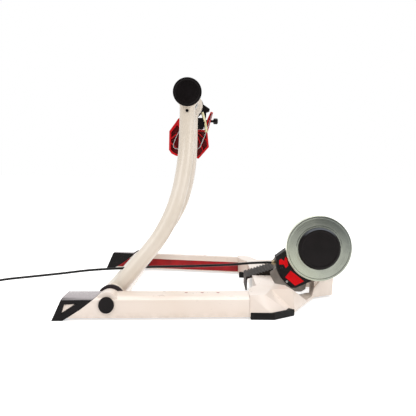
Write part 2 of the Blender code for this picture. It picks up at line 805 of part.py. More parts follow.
def make_deck():
    low = both_sides(deck_low())
    high = both_sides(deck_high())
    well = both_sides(deck_well())
    white = white_paint()
    deck = loft("rear_deck", low, LEG_BOTTOM_Z, high, DECK_TOP_Z, white)
    hollow = loft(
        "deck_hollow",
        inset(low, DECK_WALL),
        LEG_BOTTOM_Z - 5 * MM,
        inset(high, DECK_WALL + 1 * MM),
        DECK_TOP_Z - DECK_WALL,
        white,
        "cutters",
    )
    core_outline = inset(well, -DECK_WALL)
    core = slab("well_wall", core_outline, -20 * MM, 80 * MM, "XY", white, "cutters")
    under_panels = [panel_space(f"panel_{side}_under", side, DECK_WALL) for side in (-1, 1)]
    cut(hollow, core, *under_panels)
    opening = slab("well_opening", well, -20 * MM, 80 * MM, "XY", white, "cutters")
    half = PLATE_WIDTH / 2 + 2 * MM
    under = [
        (PLATE_FRONT_X - 10 * MM, plate_under_z(PLATE_FRONT_X - 10 * MM) - GAP),
        (PLATE_FRONT_X + 30 * MM, plate_under_z(PLATE_FRONT_X + 30 * MM) - GAP),
        (PLATE_FRONT_X + 30 * MM, DECK_TOP_Z + 20 * MM),
        (PLATE_FRONT_X - 10 * MM, DECK_TOP_Z + 20 * MM),
    ]
    notch = slab("plate_notch", under, -half, half, "XZ", white, "cutters")
    wall_x = deck_low()[0][0]
    hole_ends = (wall_x - 10 * MM, wall_x + 10 * MM)
    hole = rod("wall_hole", WALL_HOLE, "X", WALL_HOLE_RADIUS, *hole_ends, white, 16, "cutters")
    recess = [(ROTOR_X + x * MM, z * MM) for x, z in COVER_RECESS]
    recess_ends = (COVER_FRONT_Y - 2.5 * MM, -44 * MM)
    cover_space = slab("cover_space", recess, *recess_ends, "XZ", white, "cutters")
    over_panels = [panel_space(f"panel_{side}_over", side) for side in (-1, 1)]
    cut(deck, hollow, opening, *over_panels, notch, hole, cover_space)
    for side, word in ((-1, "left"), (1, "right")):
        outline = mirrored(rear_foot_outline(GAP), side)
        space_ends = (-5 * MM, REAR_FOOT_HEIGHT + GAP)
        space = slab(word + "_foot_space", outline, *space_ends, "XY", white, "cutters")
        pad_space = box(word + "_pad_space", *pad_corners(side, GAP), white, "cutters")
        cut(deck, space, pad_space)
        foot = mirrored(rear_foot_outline(), side)
        slab(word + "_rear_foot", foot, 0, REAR_FOOT_HEIGHT, "XY", rubber())
        box(word + "_pad", *pad_corners(side), rubber())


def make_base():
    for side, word in ((-1, "left"), (1, "right")):
        make_leg(word + "_leg", side)
        make_front_foot(word + "_front_foot", side)
        make_liner(word + "_liner", side)
        make_hinge(side, word)
    make_deck()


UPRIGHT_CURVE = [
    (0.0, 0.0),
    (0.1652, 0.0766),
    (0.3927, 0.1705),
    (0.6178, 0.266),
    (0.7976, 0.3777),
    (0.9028, 0.484),
    (0.9676, 0.6011),
    (0.9976, 0.7234),
    (1.0, 0.8431),
    (1.0, 1.0),
]
UPRIGHT_LEAN_START = 18 * MM
UPRIGHT_LEAN_END = 79 * MM


def upright_line(side):
    """Centre line of an upright: its curve runs from the hinge to the axle."""
    low = HINGE_Z + UPRIGHT_LEAN_START
    high = AXLE_Z - UPRIGHT_LEAN_END
    knots = []
    for along, up in UPRIGHT_CURVE:
        x = HINGE_X + (AXLE_X - HINGE_X) * along
        z = HINGE_Z + (AXLE_Z - HINGE_Z) * up
        share = min(max((z - low) / (high - low), 0), 1)
        y = UPRIGHT_FOOT_Y + (UPRIGHT_TOP_Y - UPRIGHT_FOOT_Y) * share
        knots.append(Vector((x, side * y, z)))
    return spline_points(knots, 30)


def clamp_end(name, side, low_y, high_y, radius):
    """A cutter on the clamp axis between two distances from the middle."""
    ends = sorted((side * low_y, side * high_y))
    return rod(name, AXLE, "Y", radius, *ends, white_paint(), 32, "cutters")


def tube_profile(side, outer, inner, low_y, high_y):
    return [
        (inner, side * low_y),
        (outer, side * low_y),
        (outer, side * high_y),
        (inner, side * high_y),
    ]


def clamp_profile(side):
    """Clamp tube with the spindle's guide bore at its inner end."""
    bore = CLAMP_RADIUS - CLAMP_WALL
    guide = SPINDLE_RADIUS + RUN
    return [
        (guide, side * CLAMP_INNER_Y),
        (CLAMP_RADIUS, side * CLAMP_INNER_Y),
        (CLAMP_RADIUS, side * CLAMP_OUTER_Y),
        (bore, side * CLAMP_OUTER_Y),
        (bore, side * (CLAMP_INNER_Y + GUIDE_LENGTH)),
        (guide, side * (CLAMP_INNER_Y + GUIDE_LENGTH)),
    ]


def make_frame_tubes():
    """Cross tube, uprights and clamp tubes, welded on the real arch."""
    white = white_paint()
    bolt = HINGE_BOLT_RADIUS + RUN
    inner = CROSS_TUBE_RADIUS - CROSS_TUBE_WALL
    cross = [
        (bolt, -CROSS_END_Y),
        (CROSS_TUBE_RADIUS, -CROSS_END_Y),
        (CROSS_TUBE_RADIUS, CROSS_END_Y),
        (bolt, CROSS_END_Y),
        (bolt, CROSS_BORE_Y),
        (inner, CROSS_BORE_Y),
        (inner, -CROSS_BORE_Y),
        (bolt, -CROSS_BORE_Y),
    ]
    pieces = [turned("cross_tube", cross, HINGE, "Y", white, 32)]
    for side, word in ((-1, "left"), (1, "right")):
        line = upright_line(side)
        upright = tube(word + "_upright", line, UPRIGHT_RADIUS, white, 5)
        bore = tube(word + "_upright_bore", line, UPRIGHT_RADIUS - UPRIGHT_WALL, white, 3, "cutters")
        across_ends = (-CROSS_END_Y - 30 * MM, CROSS_END_Y + 30 * MM)
        mouth = CROSS_TUBE_RADIUS + GAP
        low = rod(word + "_fishmouth", HINGE, "Y", mouth, *across_ends, white, 32, "cutters")
        saddle_ends = (CLAMP_INNER_Y - 40 * MM, CLAMP_OUTER_Y + 40 * MM)
        high = clamp_end(word + "_saddle", side, *saddle_ends, CLAMP_RADIUS + GAP)
        cut(upright, bore, low, high)
        clamp = turned(word + "_clamp_tube", clamp_profile(side), AXLE, "Y", white, 40)
        pieces += [upright, clamp]
    return pieces


def make_end_cap(name, side):
    """Black plug in the outer end of a clamp tube."""
    plug = CLAMP_RADIUS - CLAMP_WALL - GAP
    edge = 1.2 * MM
    profile = [
        (0, side * (CLAMP_OUTER_Y - END_CAP_PLUG)),
        (plug, side * (CLAMP_OUTER_Y - END_CAP_PLUG)),
        (plug, side * (CLAMP_OUTER_Y + GAP)),
        (END_CAP_RADIUS, side * (CLAMP_OUTER_Y + GAP)),
        (END_CAP_RADIUS, side * (CLAMP_OUTER_Y + END_CAP_RIM - edge)),
        (END_CAP_RADIUS - edge, side * (CLAMP_OUTER_Y + END_CAP_RIM)),
        (0, side * (CLAMP_OUTER_Y + END_CAP_RIM)),
    ]
    return turned(name, profile, AXLE, "Y", black_plastic(), 40)


def cup_profile(side, lip_y):
    """Axle cup and spindle in one: bore towards the middle, spindle outwards."""
    back = lip_y + CUP_LENGTH
    end = lip_y + CUP_LENGTH + SPINDLE_LENGTH
    return [
        (0, side * (lip_y + CUP_DEPTH)),
        (CUP_BORE, side * (lip_y + CUP_DEPTH)),
        (CUP_BORE, side * lip_y),
        (CUP_RADIUS, side * lip_y),
        (CUP_RADIUS, side * back),
        (SPINDLE_RADIUS, side * back),
        (SPINDLE_RADIUS, side * end),
        (0, side * end),
    ]


def make_left_side():
    """Adjustable cup, knurled ring and lock screw of the left clamp."""
    steel = bright_steel()
    cup = turned("left_cup", cup_profile(-1, CUP_LIP_Y), AXLE, "Y", steel, 28)
    ring_y = CLAMP_INNER_Y - GAP - RING_THICKNESS
    outline = []
    for i in range(RING_KNURLS * 2):
        a = pi * i / RING_KNURLS
        r = RING_RADIUS - (1.2 * MM if i % 2 else 0)
        outline.append((AXLE_X + r * cos(a), AXLE_Z + r * sin(a)))
    ring = slab("ring_nut", outline, -(ring_y + RING_THICKNESS), -ring_y, "XZ", black_plastic())
    bore = rod("ring_bore", AXLE, "Y", SPINDLE_RADIUS + RUN, -110 * MM, -80 * MM, steel, 28, "cutters")
    cut(ring, bore)
    return cup, ring


def make_lock_screw():
    """Small socket screw in the left upright, just under its clamp tube."""
    head_y = -(UPRIGHT_TOP_Y + UPRIGHT_RADIUS + GAP)
    place = (AXLE_X, 0, AXLE_Z - CLAMP_RADIUS - 9 * MM)
    tip_y = head_y + UPRIGHT_WALL + 3 * MM
    screw = rod("lock_screw", place, "Y", 2.6 * MM, head_y - 1.5 * MM, tip_y, black_plastic(), 16)
    black = black_plastic()
    socket_ends = (head_y - 5 * MM, head_y + 1 * MM)
    socket = rod("socket", place, "Y", 1.3 * MM, *socket_ends, black, 6, "cutters")
    cut(screw, socket)
    hole_ends = (head_y - 5 * MM, tip_y + GAP)
    hole = rod("screw_hole", place, "Y", 2.9 * MM, *hole_ends, black, 16, "cutters")
    cut(bpy.data.objects["left_upright"], hole)
    return screw


def lever_points(pairs):
    """Outline points given in mm from the axle's x and the lever pivot's height."""
    return [(AXLE_X + x * MM, LEVER_PIVOT_Z + z * MM) for x, z in pairs]


def lever_vector(x, y, z):
    """A point of a wire or rod near the lever, placed from the same two values."""
    return Vector((AXLE_X + x * MM, y, LEVER_PIVOT_Z + z * MM))


LEVER_OUTLINE = [
    (-31.5, 5),
    (-53, -26),
    (-53, -70),
    (-46.5, -79),
    (-35.5, -84),
    (18, -89),
    (41.5, -61),
    (37.5, -27),
    (49.5, 20),
    (44, 22),
    (36.5, 5),
    (30.5, -21),
    (-19.5, -21),
    (-25.5, 5),
]
LEVER_FIELD = [
    (-48.5, -28),
    (-48.5, -69),
    (-43.5, -75),
    (-34.5, -79.5),
    (16, -84.5),
    (37, -59.5),
    (33.5, -28),
    (28.5, -25.5),
    (-23.5, -25.5),
    (-34.5, -11),
]
LEVER_RIBS = [
    ((-54.5, -48), (-23.5, -23)),
    ((-54.5, -48), (-13.5, -85)),
    ((-23.5, -23), (-13.5, -85)),
    ((8.5, -23), (-13.5, -85)),
    ((8.5, -23), (30.5, -77)),
    ((8.5, -23), (41.5, -51)),
]
RIB_HALF_WIDTH = 1.1 * MM


def make_lever():
    """Red paddle with a rim, a thin web and ribs that make triangles."""
    red = red_plastic()
    outer_y = LEVER_PIVOT_Y + LEVER_THICKNESS / 2
    inner_y = LEVER_PIVOT_Y - LEVER_THICKNESS / 2
    lever = slab("quick_lever", lever_points(LEVER_OUTLINE), inner_y, outer_y, "XZ", red)
    field = lever_points(LEVER_FIELD)
    pocket = slab("lever_pocket", field, inner_y - 5 * MM, outer_y - LEVER_WEB, "XZ", red, "cutters")
    for number, rib_ends in enumerate(LEVER_RIBS):
        a, b = [Vector(point) for point in lever_points(rib_ends)]
        along = (b - a).normalized()
        beside = Vector((-along.y, along.x)) * RIB_HALF_WIDTH
        bar = [tuple(a + beside), tuple(b + beside), tuple(b - beside), tuple(a - beside)]
        rib = slab(f"lever_rib_{number}", bar, inner_y - 10 * MM, outer_y, "XZ", red, "cutters")
        cut(pocket, rib)
    pin_place = (0, LEVER_PIVOT_Y, LEVER_PIVOT_Z)
    bore_ends = (AXLE_X - 70 * MM, AXLE_X + 80 * MM)
    bore = rod("lever_bore", pin_place, "X", LEVER_PIN_RADIUS + RUN, *bore_ends, red, 16, "cutters")
    cut(lever, pocket, bore)
    return lever


def make_bail():
    """Steel wire clipped across the inner face of the paddle."""
    y = LEVER_PIVOT_Y - LEVER_THICKNESS / 2 - BAIL_RADIUS - GAP
    knots = [
        lever_vector(-27.5, y, -23),
        lever_vector(-37.5, y, -43),
        lever_vector(-42.5, y, -59),
        lever_vector(-37.5, y, -66.5),
        lever_vector(-11.5, y, -68),
        lever_vector(14.5, y, -66.5),
        lever_vector(21.5, y, -59),
        lever_vector(29.5, y, -38),
        lever_vector(35.5, y, -21),
        lever_vector(42.5, y, 3),
        lever_vector(47, y, 18),
    ]
    return tube("lever_bail", spline_points(knots, 28), BAIL_RADIUS, bright_steel(), 1)


BRACKET_FRONT_X = AXLE_X - 17.5 * MM
BRACKET_REAR_X = AXLE_X + 25.5 * MM
BRACKET_DROP = 21 * MM
BRACKET_WING = [
    (20.5, -20),
    (28, -20),
    (33.5, 8),
    (33.5, 18),
    (40.5, 21),
    (41.5, 26),
    (27, 35.5),
    (25.9, 31),
    (25.7, 7),
    (20.5, -1),
]
STAY_DROP_Y = 14.5 * MM


def make_bracket():
    """Black bracket on the right upright, with the barrel that holds the lever's pin."""
    black = black_plastic()
    back_y = UPRIGHT_TOP_Y + 4 * MM
    face_y = LEVER_PIVOT_Y - LEVER_THICKNESS / 2 - 2 * BAIL_RADIUS - 2 * GAP - 1 * MM
    low_z = LEVER_PIVOT_Z - BRACKET_DROP
    high_z = AXLE_Z - CLAMP_RADIUS - 1.5 * MM
    corners = (BRACKET_FRONT_X, back_y, low_z), (BRACKET_REAR_X, face_y, high_z)
    bracket = box("lever_bracket", *corners, black)
    pivot = (0, LEVER_PIVOT_Y, LEVER_PIVOT_Z)
    barrel_ends = (BRACKET_FRONT_X + 2 * MM, BRACKET_REAR_X + 1 * MM)
    barrel_radius = LEVER_PIN_RADIUS + 3.2 * MM
    barrel = rod("pin_barrel", pivot, "X", barrel_radius, *barrel_ends, black, 20, "cutters")
    web_low = (barrel_ends[0], face_y - 2 * MM, LEVER_PIVOT_Z - 5 * MM)
    web_high = (barrel_ends[1], LEVER_PIVOT_Y, LEVER_PIVOT_Z + 4 * MM)
    web = box("pin_web", web_low, web_high, black, "cutters")
    wing_ends = (UPRIGHT_TOP_Y + 10 * MM, face_y)
    wing = slab("bracket_wing", lever_points(BRACKET_WING), *wing_ends, "XZ", black, "cutters")
    upright = (AXLE_X, UPRIGHT_TOP_Y, 0)
    space_radius = UPRIGHT_RADIUS + GAP + 0.2 * MM
    space_ends = (low_z - 22 * MM, high_z + 13 * MM)
    space = rod("upright_space", upright, "Z", space_radius, *space_ends, black, 32, "cutters")
    bore_ends = (BRACKET_FRONT_X - 15 * MM, BRACKET_REAR_X + 30 * MM)
    bore = rod("bracket_bore", pivot, "X", LEVER_PIN_RADIUS + GAP, *bore_ends, black, 16, "cutters")
    stay_hole = tube("stay_hole", stay_line(), STAY_RADIUS + GAP, black, 2, "cutters")
    clamp = clamp_end("bracket_saddle", 1, 90 * MM, 170 * MM, CLAMP_RADIUS + GAP)
    cap_ends = (CLAMP_OUTER_Y - GAP, 170 * MM)
    cap = clamp_end("bracket_cap_space", 1, *cap_ends, END_CAP_RADIUS + GAP)
    join(bracket, barrel, web, wing)
    cut(bracket, space, bore, clamp, cap, stay_hole)
    return bracket


def stay_line():
    """The zinc plated rod from under the clamp tube, past the bracket, down to the lever."""
    high_y = UPRIGHT_TOP_Y + 7 * MM
    low_y = LEVER_PIVOT_Y - STAY_DROP_Y
    knots = [
        lever_vector(24.4, high_y, 17.4),
        lever_vector(26.6, high_y + 1 * MM, 10.5),
        lever_vector(30.1, high_y + 5 * MM, -1),
        lever_vector(32.6, low_y - 7.5 * MM, -13.6),
        lever_vector(34.3, low_y, -24),
        lever_vector(35, low_y, -28),
    ]
    return spline_points(knots, 14)


PIN_START_X = AXLE_X - 34.5 * MM
KNOB_X = AXLE_X + 50.5 * MM
KNOB_LENGTH = 11 * MM


def make_pin():
    """Pivot pin of the lever with its black knob."""
    place = (0, LEVER_PIVOT_Y, LEVER_PIVOT_Z)
    knob_end = KNOB_X + KNOB_LENGTH
    pin = [
        (0, PIN_START_X),
        (LEVER_PIN_RADIUS, PIN_START_X),
        (LEVER_PIN_RADIUS, KNOB_X),
        (KNOB_RADIUS - 2 * MM, KNOB_X + 0.5 * MM),
        (KNOB_RADIUS, KNOB_X + 3 * MM),
        (KNOB_RADIUS, knob_end - 3 * MM),
        (KNOB_RADIUS - 2.5 * MM, knob_end - 0.5 * MM),
        (0, knob_end),
    ]
    return turned("lever_pin", pin, place, "X", black_plastic(), 16)


def make_arch():
    hinge = empty("arch_hinge", HINGE)
    pieces = make_frame_tubes()
    pieces += [make_end_cap("left_end_cap", -1), make_end_cap("right_end_cap", 1)]
    pieces.append(make_lock_screw())
    pieces.append(make_bracket())
    pieces.append(make_pin())
    pieces.append(tube("lever_stay", stay_line(), STAY_RADIUS, yellow_zinc(), 2))
    carry(hinge, *pieces)
    cup, ring = make_left_side()
    ring_axis = empty("ring_axis", AXLE)
    carry(ring_axis, ring)
    carry(empty("left_cup_axis", AXLE), cup, ring_axis)
    right = turned("right_cup", cup_profile(1, CUP_LIP_Y), AXLE, "Y", bright_steel(), 28)
    carry(empty("right_cup_axis", AXLE), right)
    pivot = empty("lever_pivot", (0, LEVER_PIVOT_Y, LEVER_PIVOT_Z))
    carry(pivot, make_lever(), make_bail())


CHEEK_INNER_Y = PLATE_WIDTH / 2 + GAP
CHEEK_OUTER_Y = CHEEK_INNER_Y + CHEEK_THICKNESS
BEARING_SEAT_Y = CHEEK_INNER_Y + 1 * MM
BOSS_END_Y = BEARING_SEAT_Y + BEARING_WIDTH + 0.5 * MM
COVER_BACK_Y = -(CHEEK_OUTER_Y + GAP)
CHEEK_STUDS = [(ROTOR_X - 87.5 * MM, 48.5 * MM), (ROTOR_X + 19.5 * MM, 53 * MM)]
STUD_LENGTH = 7 * MM
BOLT_RADIUS = 2.5 * MM
BOLT_HEAD_RADIUS = 4.5 * MM
BOLT_HEAD = 3 * MM
COVER_SCREW = (92.8 * MM, 229.5)
COVER_SCREW_RADIUS = 1.6 * MM
COVER_RIM = [
    (194.3, 86.8 * MM),
    (198, 87.4 * MM),
    (202, 88.4 * MM),
    (207, 91 * MM),
    (212.3, 93.5 * MM),
    (220, 96 * MM),
    (229, 97 * MM),
    (238.5, 97.7 * MM),
]


def polar(radius, angle):
    """A point (x, z) at an angle in degrees round the rotor's axis."""
    return ROTOR_X + radius * cos(radians(angle)), ROTOR_Z + radius * sin(radians(angle))


def ends(side, low, high):
    """Two distances from the middle, as places on Y for one side, lowest first."""
    return sorted((side * low, side * high))


def bolt(name, place, axis, shank, head, head_radius, shank_radius, sides=6):
    """A bolt as one solid turned shape: shank and head, each from low to high."""
    turned_low = shank[0] < head[0]
    inner, outer = (head[0], head[1]) if turned_low else (head[1], head[0])
    tip = shank[0] if turned_low else shank[1]
    profile = [
        (0, tip),
        (shank_radius, tip),
        (shank_radius, inner),
        (head_radius, inner),
        (head_radius, outer),
        (0, outer),
    ]
    return turned(name, profile, place, axis, bright_steel(), 2 * sides)


def make_rotor():
    """Flywheel, hub cap, shaft, roller, brake disc and nut, all turning together."""
    bore = SHAFT_RADIUS + RUN
    face = FLYWHEEL_FACE_Y
    back = face + FLYWHEEL_THICKNESS
    edge = 1.5 * MM
    wheel = [
        (bore, face),
        (FLYWHEEL_RADIUS - edge, face),
        (FLYWHEEL_RADIUS, face + edge),
        (FLYWHEEL_RADIUS, back - edge),
        (FLYWHEEL_RADIUS - edge, back),
        (bore, back),
    ]
    cap_face = face - GAP - HUB_CAP_DEPTH
    cap = [
        (0, face - GAP),
        (HUB_CAP_RADIUS, face - GAP),
        (HUB_CAP_RADIUS, cap_face + 0.5 * HUB_CAP_DEPTH),
        (HUB_CAP_RADIUS - 0.5 * HUB_CAP_DEPTH, cap_face),
        (0, cap_face),
    ]
    core_radius = ROLLER_RADIUS - SLEEVE_THICKNESS
    core_end = ROLLER_LENGTH / 2
    sleeve_end = core_end - 1 * MM
    sleeve = [
        (core_radius + GAP, -sleeve_end),
        (ROLLER_RADIUS - 1 * MM, -sleeve_end),
        (ROLLER_RADIUS, -sleeve_end + 2 * MM),
        (ROLLER_RADIUS, sleeve_end - 2 * MM),
        (ROLLER_RADIUS - 1 * MM, sleeve_end),
        (core_radius + GAP, sleeve_end),
    ]
    disc_half = BRAKE_DISC_THICKNESS / 2
    disc = tube_profile(1, BRAKE_DISC_RADIUS, bore, BRAKE_DISC_Y - disc_half, BRAKE_DISC_Y + disc_half)
    nut_y = BOSS_END_Y + 1 * MM
    nut_end = nut_y + 6 * MM
    shaft = [
        (0, face + 0.5 * MM),
        (SHAFT_RADIUS, face + 0.5 * MM),
        (SHAFT_RADIUS, -core_end),
        (core_radius, -core_end),
        (core_radius, core_end),
        (SHAFT_RADIUS, core_end),
        (SHAFT_RADIUS, nut_end + 2 * MM),
        (0, nut_end + 2 * MM),
    ]
    steel = bright_steel()
    nut = rod("shaft_nut", ROTOR, "Y", 9 * MM, nut_y, nut_end, steel, 6)
    thread = rod("nut_bore", ROTOR, "Y", bore, nut_y - 5 * MM, nut_end + 5 * MM, steel, 24, "cutters")
    cut(nut, thread)
    pieces = [
        turned("flywheel", wheel, ROTOR, "Y", zinc_steel(), 56),
        turned("hub_cap", cap, ROTOR, "Y", black_plastic(), 48),
        turned("roller_shaft", shaft, ROTOR, "Y", steel, 28),
        turned("roller_sleeve", sleeve, ROTOR, "Y", rubber(), 36),
        turned("brake_disc", disc, ROTOR, "Y", steel, 48),
    ]
    carry(empty("rotor_axis", ROTOR), nut, *pieces)


def make_bearing(name, side):
    low = BEARING_SEAT_Y + GAP
    ring = tube_profile(side, BEARING_RADIUS, SHAFT_RADIUS + RUN, low, low + BEARING_WIDTH)
    return turned(name, ring, ROTOR, "Y", bright_steel(), 28)


def cheek_outline():
    """Side plate: down into the deck's well in front, on the deck's nose behind."""
    tie_z = DECK_TOP_Z + 1 * MM
    return [
        (ROTOR_X - 91.5 * MM, 48 * MM),
        (ROTOR_X - 88.5 * MM, 33 * MM),
        (ROTOR_X - 83 * MM, 27 * MM),
        (ROTOR_X - 65 * MM, 22 * MM),
        (ROTOR_X - 38 * MM, 10.5 * MM),
        (ROTOR_X - 26 * MM, 10.5 * MM),
        (ROTOR_X - 17.5 * MM, 16 * MM),
        (ROTOR_X - 14.5 * MM, tie_z),
        (ROTOR_X + 29.5 * MM, tie_z),
        (ROTOR_X + 31.5 * MM, 62 * MM),
        *arc((ROTOR_X, ROTOR_Z), BEARING_RADIUS + 13 * MM, 0, 140, 9),
        (ROTOR_X - 50 * MM, 87.5 * MM),
        (ROTOR_X - 72 * MM, 71.5 * MM),
        (ROTOR_X - 77 * MM, 64 * MM),
    ]


def bolt_hole(name, x, z, low, high, radius=BOLT_RADIUS + GAP):
    """A cutter for a hole along Y."""
    return rod(name, (x, 0, z), "Y", radius, low, high, grey_steel(), 16, "cutters")


def make_cheek(word, side):
    """Side plate of the cradle with its bearing housing."""
    steel = grey_steel()
    cheek = slab(word + "_cheek", cheek_outline(), *ends(side, CHEEK_INNER_Y, CHEEK_OUTER_Y), "XZ", steel)
    boss_ends = ends(side, CHEEK_INNER_Y, BOSS_END_Y)
    boss = rod(word + "_boss", ROTOR, "Y", BEARING_RADIUS + 4 * MM, *boss_ends, steel, 32, "cutters")
    seat_ends = ends(side, BEARING_SEAT_Y, BOSS_END_Y + 5 * MM)
    seat = rod(word + "_seat", ROTOR, "Y", BEARING_RADIUS + GAP, *seat_ends, steel, 32, "cutters")
    through = ends(side, CHEEK_INNER_Y - 5 * MM, BOSS_END_Y + 5 * MM)
    hole = rod(word + "_shaft_hole", ROTOR, "Y", SHAFT_RADIUS + 3 * MM, *through, steel, 24, "cutters")
    join(cheek, boss)
    cut(cheek, seat, hole)
    for number, (x, z) in enumerate(CHEEK_STUDS):
        name = f"{word}_stud_{number}"
        stud_ends = ends(side, CHEEK_INNER_Y - STUD_LENGTH, CHEEK_OUTER_Y - 1 * MM)
        head_ends = ends(side, CHEEK_OUTER_Y - 1 * MM, CHEEK_OUTER_Y + 1.5 * MM)
        join(cheek, rod(name, (x, 0, z), "Y", BOLT_RADIUS, *stud_ends, steel, 16, "cutters"))
        join(cheek, rod(name + "_head", (x, 0, z), "Y", BOLT_HEAD_RADIUS, *head_ends, steel, 16, "cutters"))
    return cheek


def plate_at(along, height):
    """A point (x, z) on the sloping plate, from its front top edge."""
    x = PLATE_FRONT_X + along * cos(PLATE_SLOPE) - height * sin(PLATE_SLOPE)
    z = PLATE_FRONT_Z + along * sin(PLATE_SLOPE) + height * cos(PLATE_SLOPE)
    return x, z


def plate_outline():
    """Side view of the plate: front flange, cross ribs on top, plain underside."""
    top = []
    pitch = PLATE_LENGTH / PLATE_RIBS
    for i in range(PLATE_RIBS):
        low = i * pitch
        high = low + 0.45 * pitch
        top += [plate_at(low, RIB_HEIGHT), plate_at(high, RIB_HEIGHT), plate_at(high, 0)]
        top.append(plate_at(low + pitch, 0))
    return [
        (PLATE_FRONT_X, FLANGE_BOTTOM_Z),
        (PLATE_FRONT_X - PLATE_THICKNESS, FLANGE_BOTTOM_Z),
        (PLATE_FRONT_X - PLATE_THICKNESS, PLATE_FRONT_Z),
        *top,
        plate_at(PLATE_LENGTH, -PLATE_THICKNESS),
        (PLATE_FRONT_X, plate_under_z(PLATE_FRONT_X)),
    ]


RAIL_FRONT_X = PLATE_FRONT_X + 31 * MM
RAIL_REAR_X = CHEEK_STUDS[0][0] + 4 * MM
RAIL_WIDTH = 6 * MM


def make_plate():
    """Ribbed sloping plate on two rails that stand on the deck."""
    steel = grey_steel()
    half = PLATE_WIDTH / 2
    plate = slab("cradle_plate", plate_outline(), -half, half, "XZ", steel)
    foot_z = DECK_TOP_Z + GAP
    inside = 1.5 * MM
    rail = [
        (RAIL_FRONT_X, foot_z),
        (RAIL_REAR_X, foot_z),
        (RAIL_REAR_X, plate_under_z(RAIL_REAR_X) + inside),
        (RAIL_FRONT_X, plate_under_z(RAIL_FRONT_X) + inside),
    ]
    for side in (-1, 1):
        rail_ends = ends(side, half - RAIL_WIDTH, half - 0.5 * MM)
        join(plate, slab(f"rail_{side}", rail, *rail_ends, "XZ", steel, "cutters"))
    x, z = CHEEK_STUDS[0]
    return cut(plate, bolt_hole("plate_side_holes", x, z, -60 * MM, 60 * MM))


TIE_FRONT_X = ROTOR_X + 5.5 * MM
TIE_REAR_X = ROTOR_X + 31.5 * MM
TIE_THICKNESS = 4 * MM
TIE_BOLT = (TIE_REAR_X - 6 * MM, 14 * MM)


def make_rear_tie():
    """Folded plate on the deck's nose that holds the rear of both cheeks."""
    steel = grey_steel()
    half = PLATE_WIDTH / 2
    low = DECK_TOP_Z + GAP
    top = low + TIE_THICKNESS
    x, z = CHEEK_STUDS[1]
    tie = box("rear_tie", (TIE_FRONT_X, -half, low), (TIE_REAR_X, half, top), steel)
    for side in (-1, 1):
        ys = ends(side, half - TIE_THICKNESS, half)
        corners = (TIE_FRONT_X + 3 * MM, ys[0], low + 1 * MM), (TIE_REAR_X - 2 * MM, ys[1], z + 7 * MM)
        join(tie, box(f"tie_wall_{side}", *corners, steel, "cutters"))
    cut(tie, bolt_hole("tie_side_holes", x, z, -60 * MM, 60 * MM))
    for side, word in ((-1, "left"), (1, "right")):
        place = (TIE_BOLT[0], side * TIE_BOLT[1], 0)
        hole_ends = (DECK_TOP_Z - 22 * MM, DECK_TOP_Z + 18 * MM)
        hole = rod(f"tie_hole_{side}", place, "Z", BOLT_RADIUS + GAP, *hole_ends, steel, 16, "cutters")
        cut(tie, hole)
        cut(bpy.data.objects["rear_deck"], hole)
        shank = (DECK_TOP_Z - 8 * MM, top + GAP)
        head = (top + GAP, top + GAP + BOLT_HEAD)
        bolt(word + "_tie_bolt", place, "Z", shank, head, BOLT_HEAD_RADIUS, BOLT_RADIUS)


def cover_outline():
    """Side view of the magnets' housing, wrapped round the rear lower part of the disc."""
    outer = [polar(radius, angle) for angle, radius in COVER_RIM]
    inner = arc((ROTOR_X, ROTOR_Z), 50 * MM, 275, 178, 9)
    return [*outer, polar(93.5 * MM, 243), polar(67.3 * MM, 264.5), *inner, polar(63.9 * MM, 185.2)]


def make_cover():
    """Black housing of the magnets: front wall, rim and ends, open at the back."""
    black = black_plastic()
    inner_y = COVER_FRONT_Y + COVER_WALL
    beyond = COVER_BACK_Y + 15 * MM
    ahead = COVER_FRONT_Y - 5 * MM
    cover = slab("brake_cover", cover_outline(), COVER_FRONT_Y, COVER_BACK_Y, "XZ", black)
    hollow = inset(cover_outline(), COVER_WALL)
    cavity = slab("cover_cavity", hollow, inner_y, beyond, "XZ", black, "cutters")
    reach = BRAKE_DISC_RADIUS + 2.5 * MM
    space = rod("disc_space", ROTOR, "Y", reach, inner_y, beyond, black, 48, "cutters")
    cut(cover, cavity, space)
    cheek = bpy.data.objects["left_cheek"]
    through = -CHEEK_INNER_Y + 5 * MM
    x, z = polar(*COVER_SCREW)
    post = rod("post", (x, 0, z), "Y", 4 * MM, inner_y - 1 * MM, COVER_BACK_Y, black, 16, "cutters")
    hole = bolt_hole("screw_hole", x, z, ahead, through, COVER_SCREW_RADIUS + GAP)
    join(cover, post)
    cut(cover, hole)
    cut(cheek, hole)
    x, z = polar(CARRIER_PIVOT_RADIUS, CARRIER_PIVOT_ANGLE)
    boss_ends = (COVER_FRONT_Y - 2 * MM, inner_y - 0.5 * MM)
    boss = rod("pivot_boss", (x, 0, z), "Y", 6.5 * MM, *boss_ends, black, 24, "cutters")
    bore = bolt_hole("pin_hole", x, z, ahead, through, CARRIER_PIN_RADIUS + RUN)
    entry_ends = (CABLE_EXIT_X - 8 * MM, CABLE_EXIT_X + BARREL_LENGTH + 3 * MM)
    entry_place = (0, CABLE_Y, CABLE_Z)
    entry_radius = BARREL_RADIUS + GAP
    entry = rod("cable_entry", entry_place, "X", entry_radius, *entry_ends, black, 20, "cutters")
    join(cover, boss)
    cut(cover, bore, entry)
    cut(cheek, bore)
    pin_ends = (COVER_FRONT_Y - 1.5 * MM, -CHEEK_INNER_Y)
    rod("carrier_pin", (x, 0, z), "Y", CARRIER_PIN_RADIUS, *pin_ends, bright_steel(), 16)


UPPER_PLATE = [
    (-77.3, -27.6),
    (-73.4, -24.1),
    (-67.2, -28.8),
    (-64.5, -19.6),
    (-61.3, -24.6),
    (-58.4, -38),
    (-63.5, -43.4),
    (-68, -35.6),
    (-76.4, -36.4),
]
LOWER_PLATE = [(-53.3, -47.9), (-25.4, -68.9), (-43.3, -78.6), (-64.1, -61.8)]


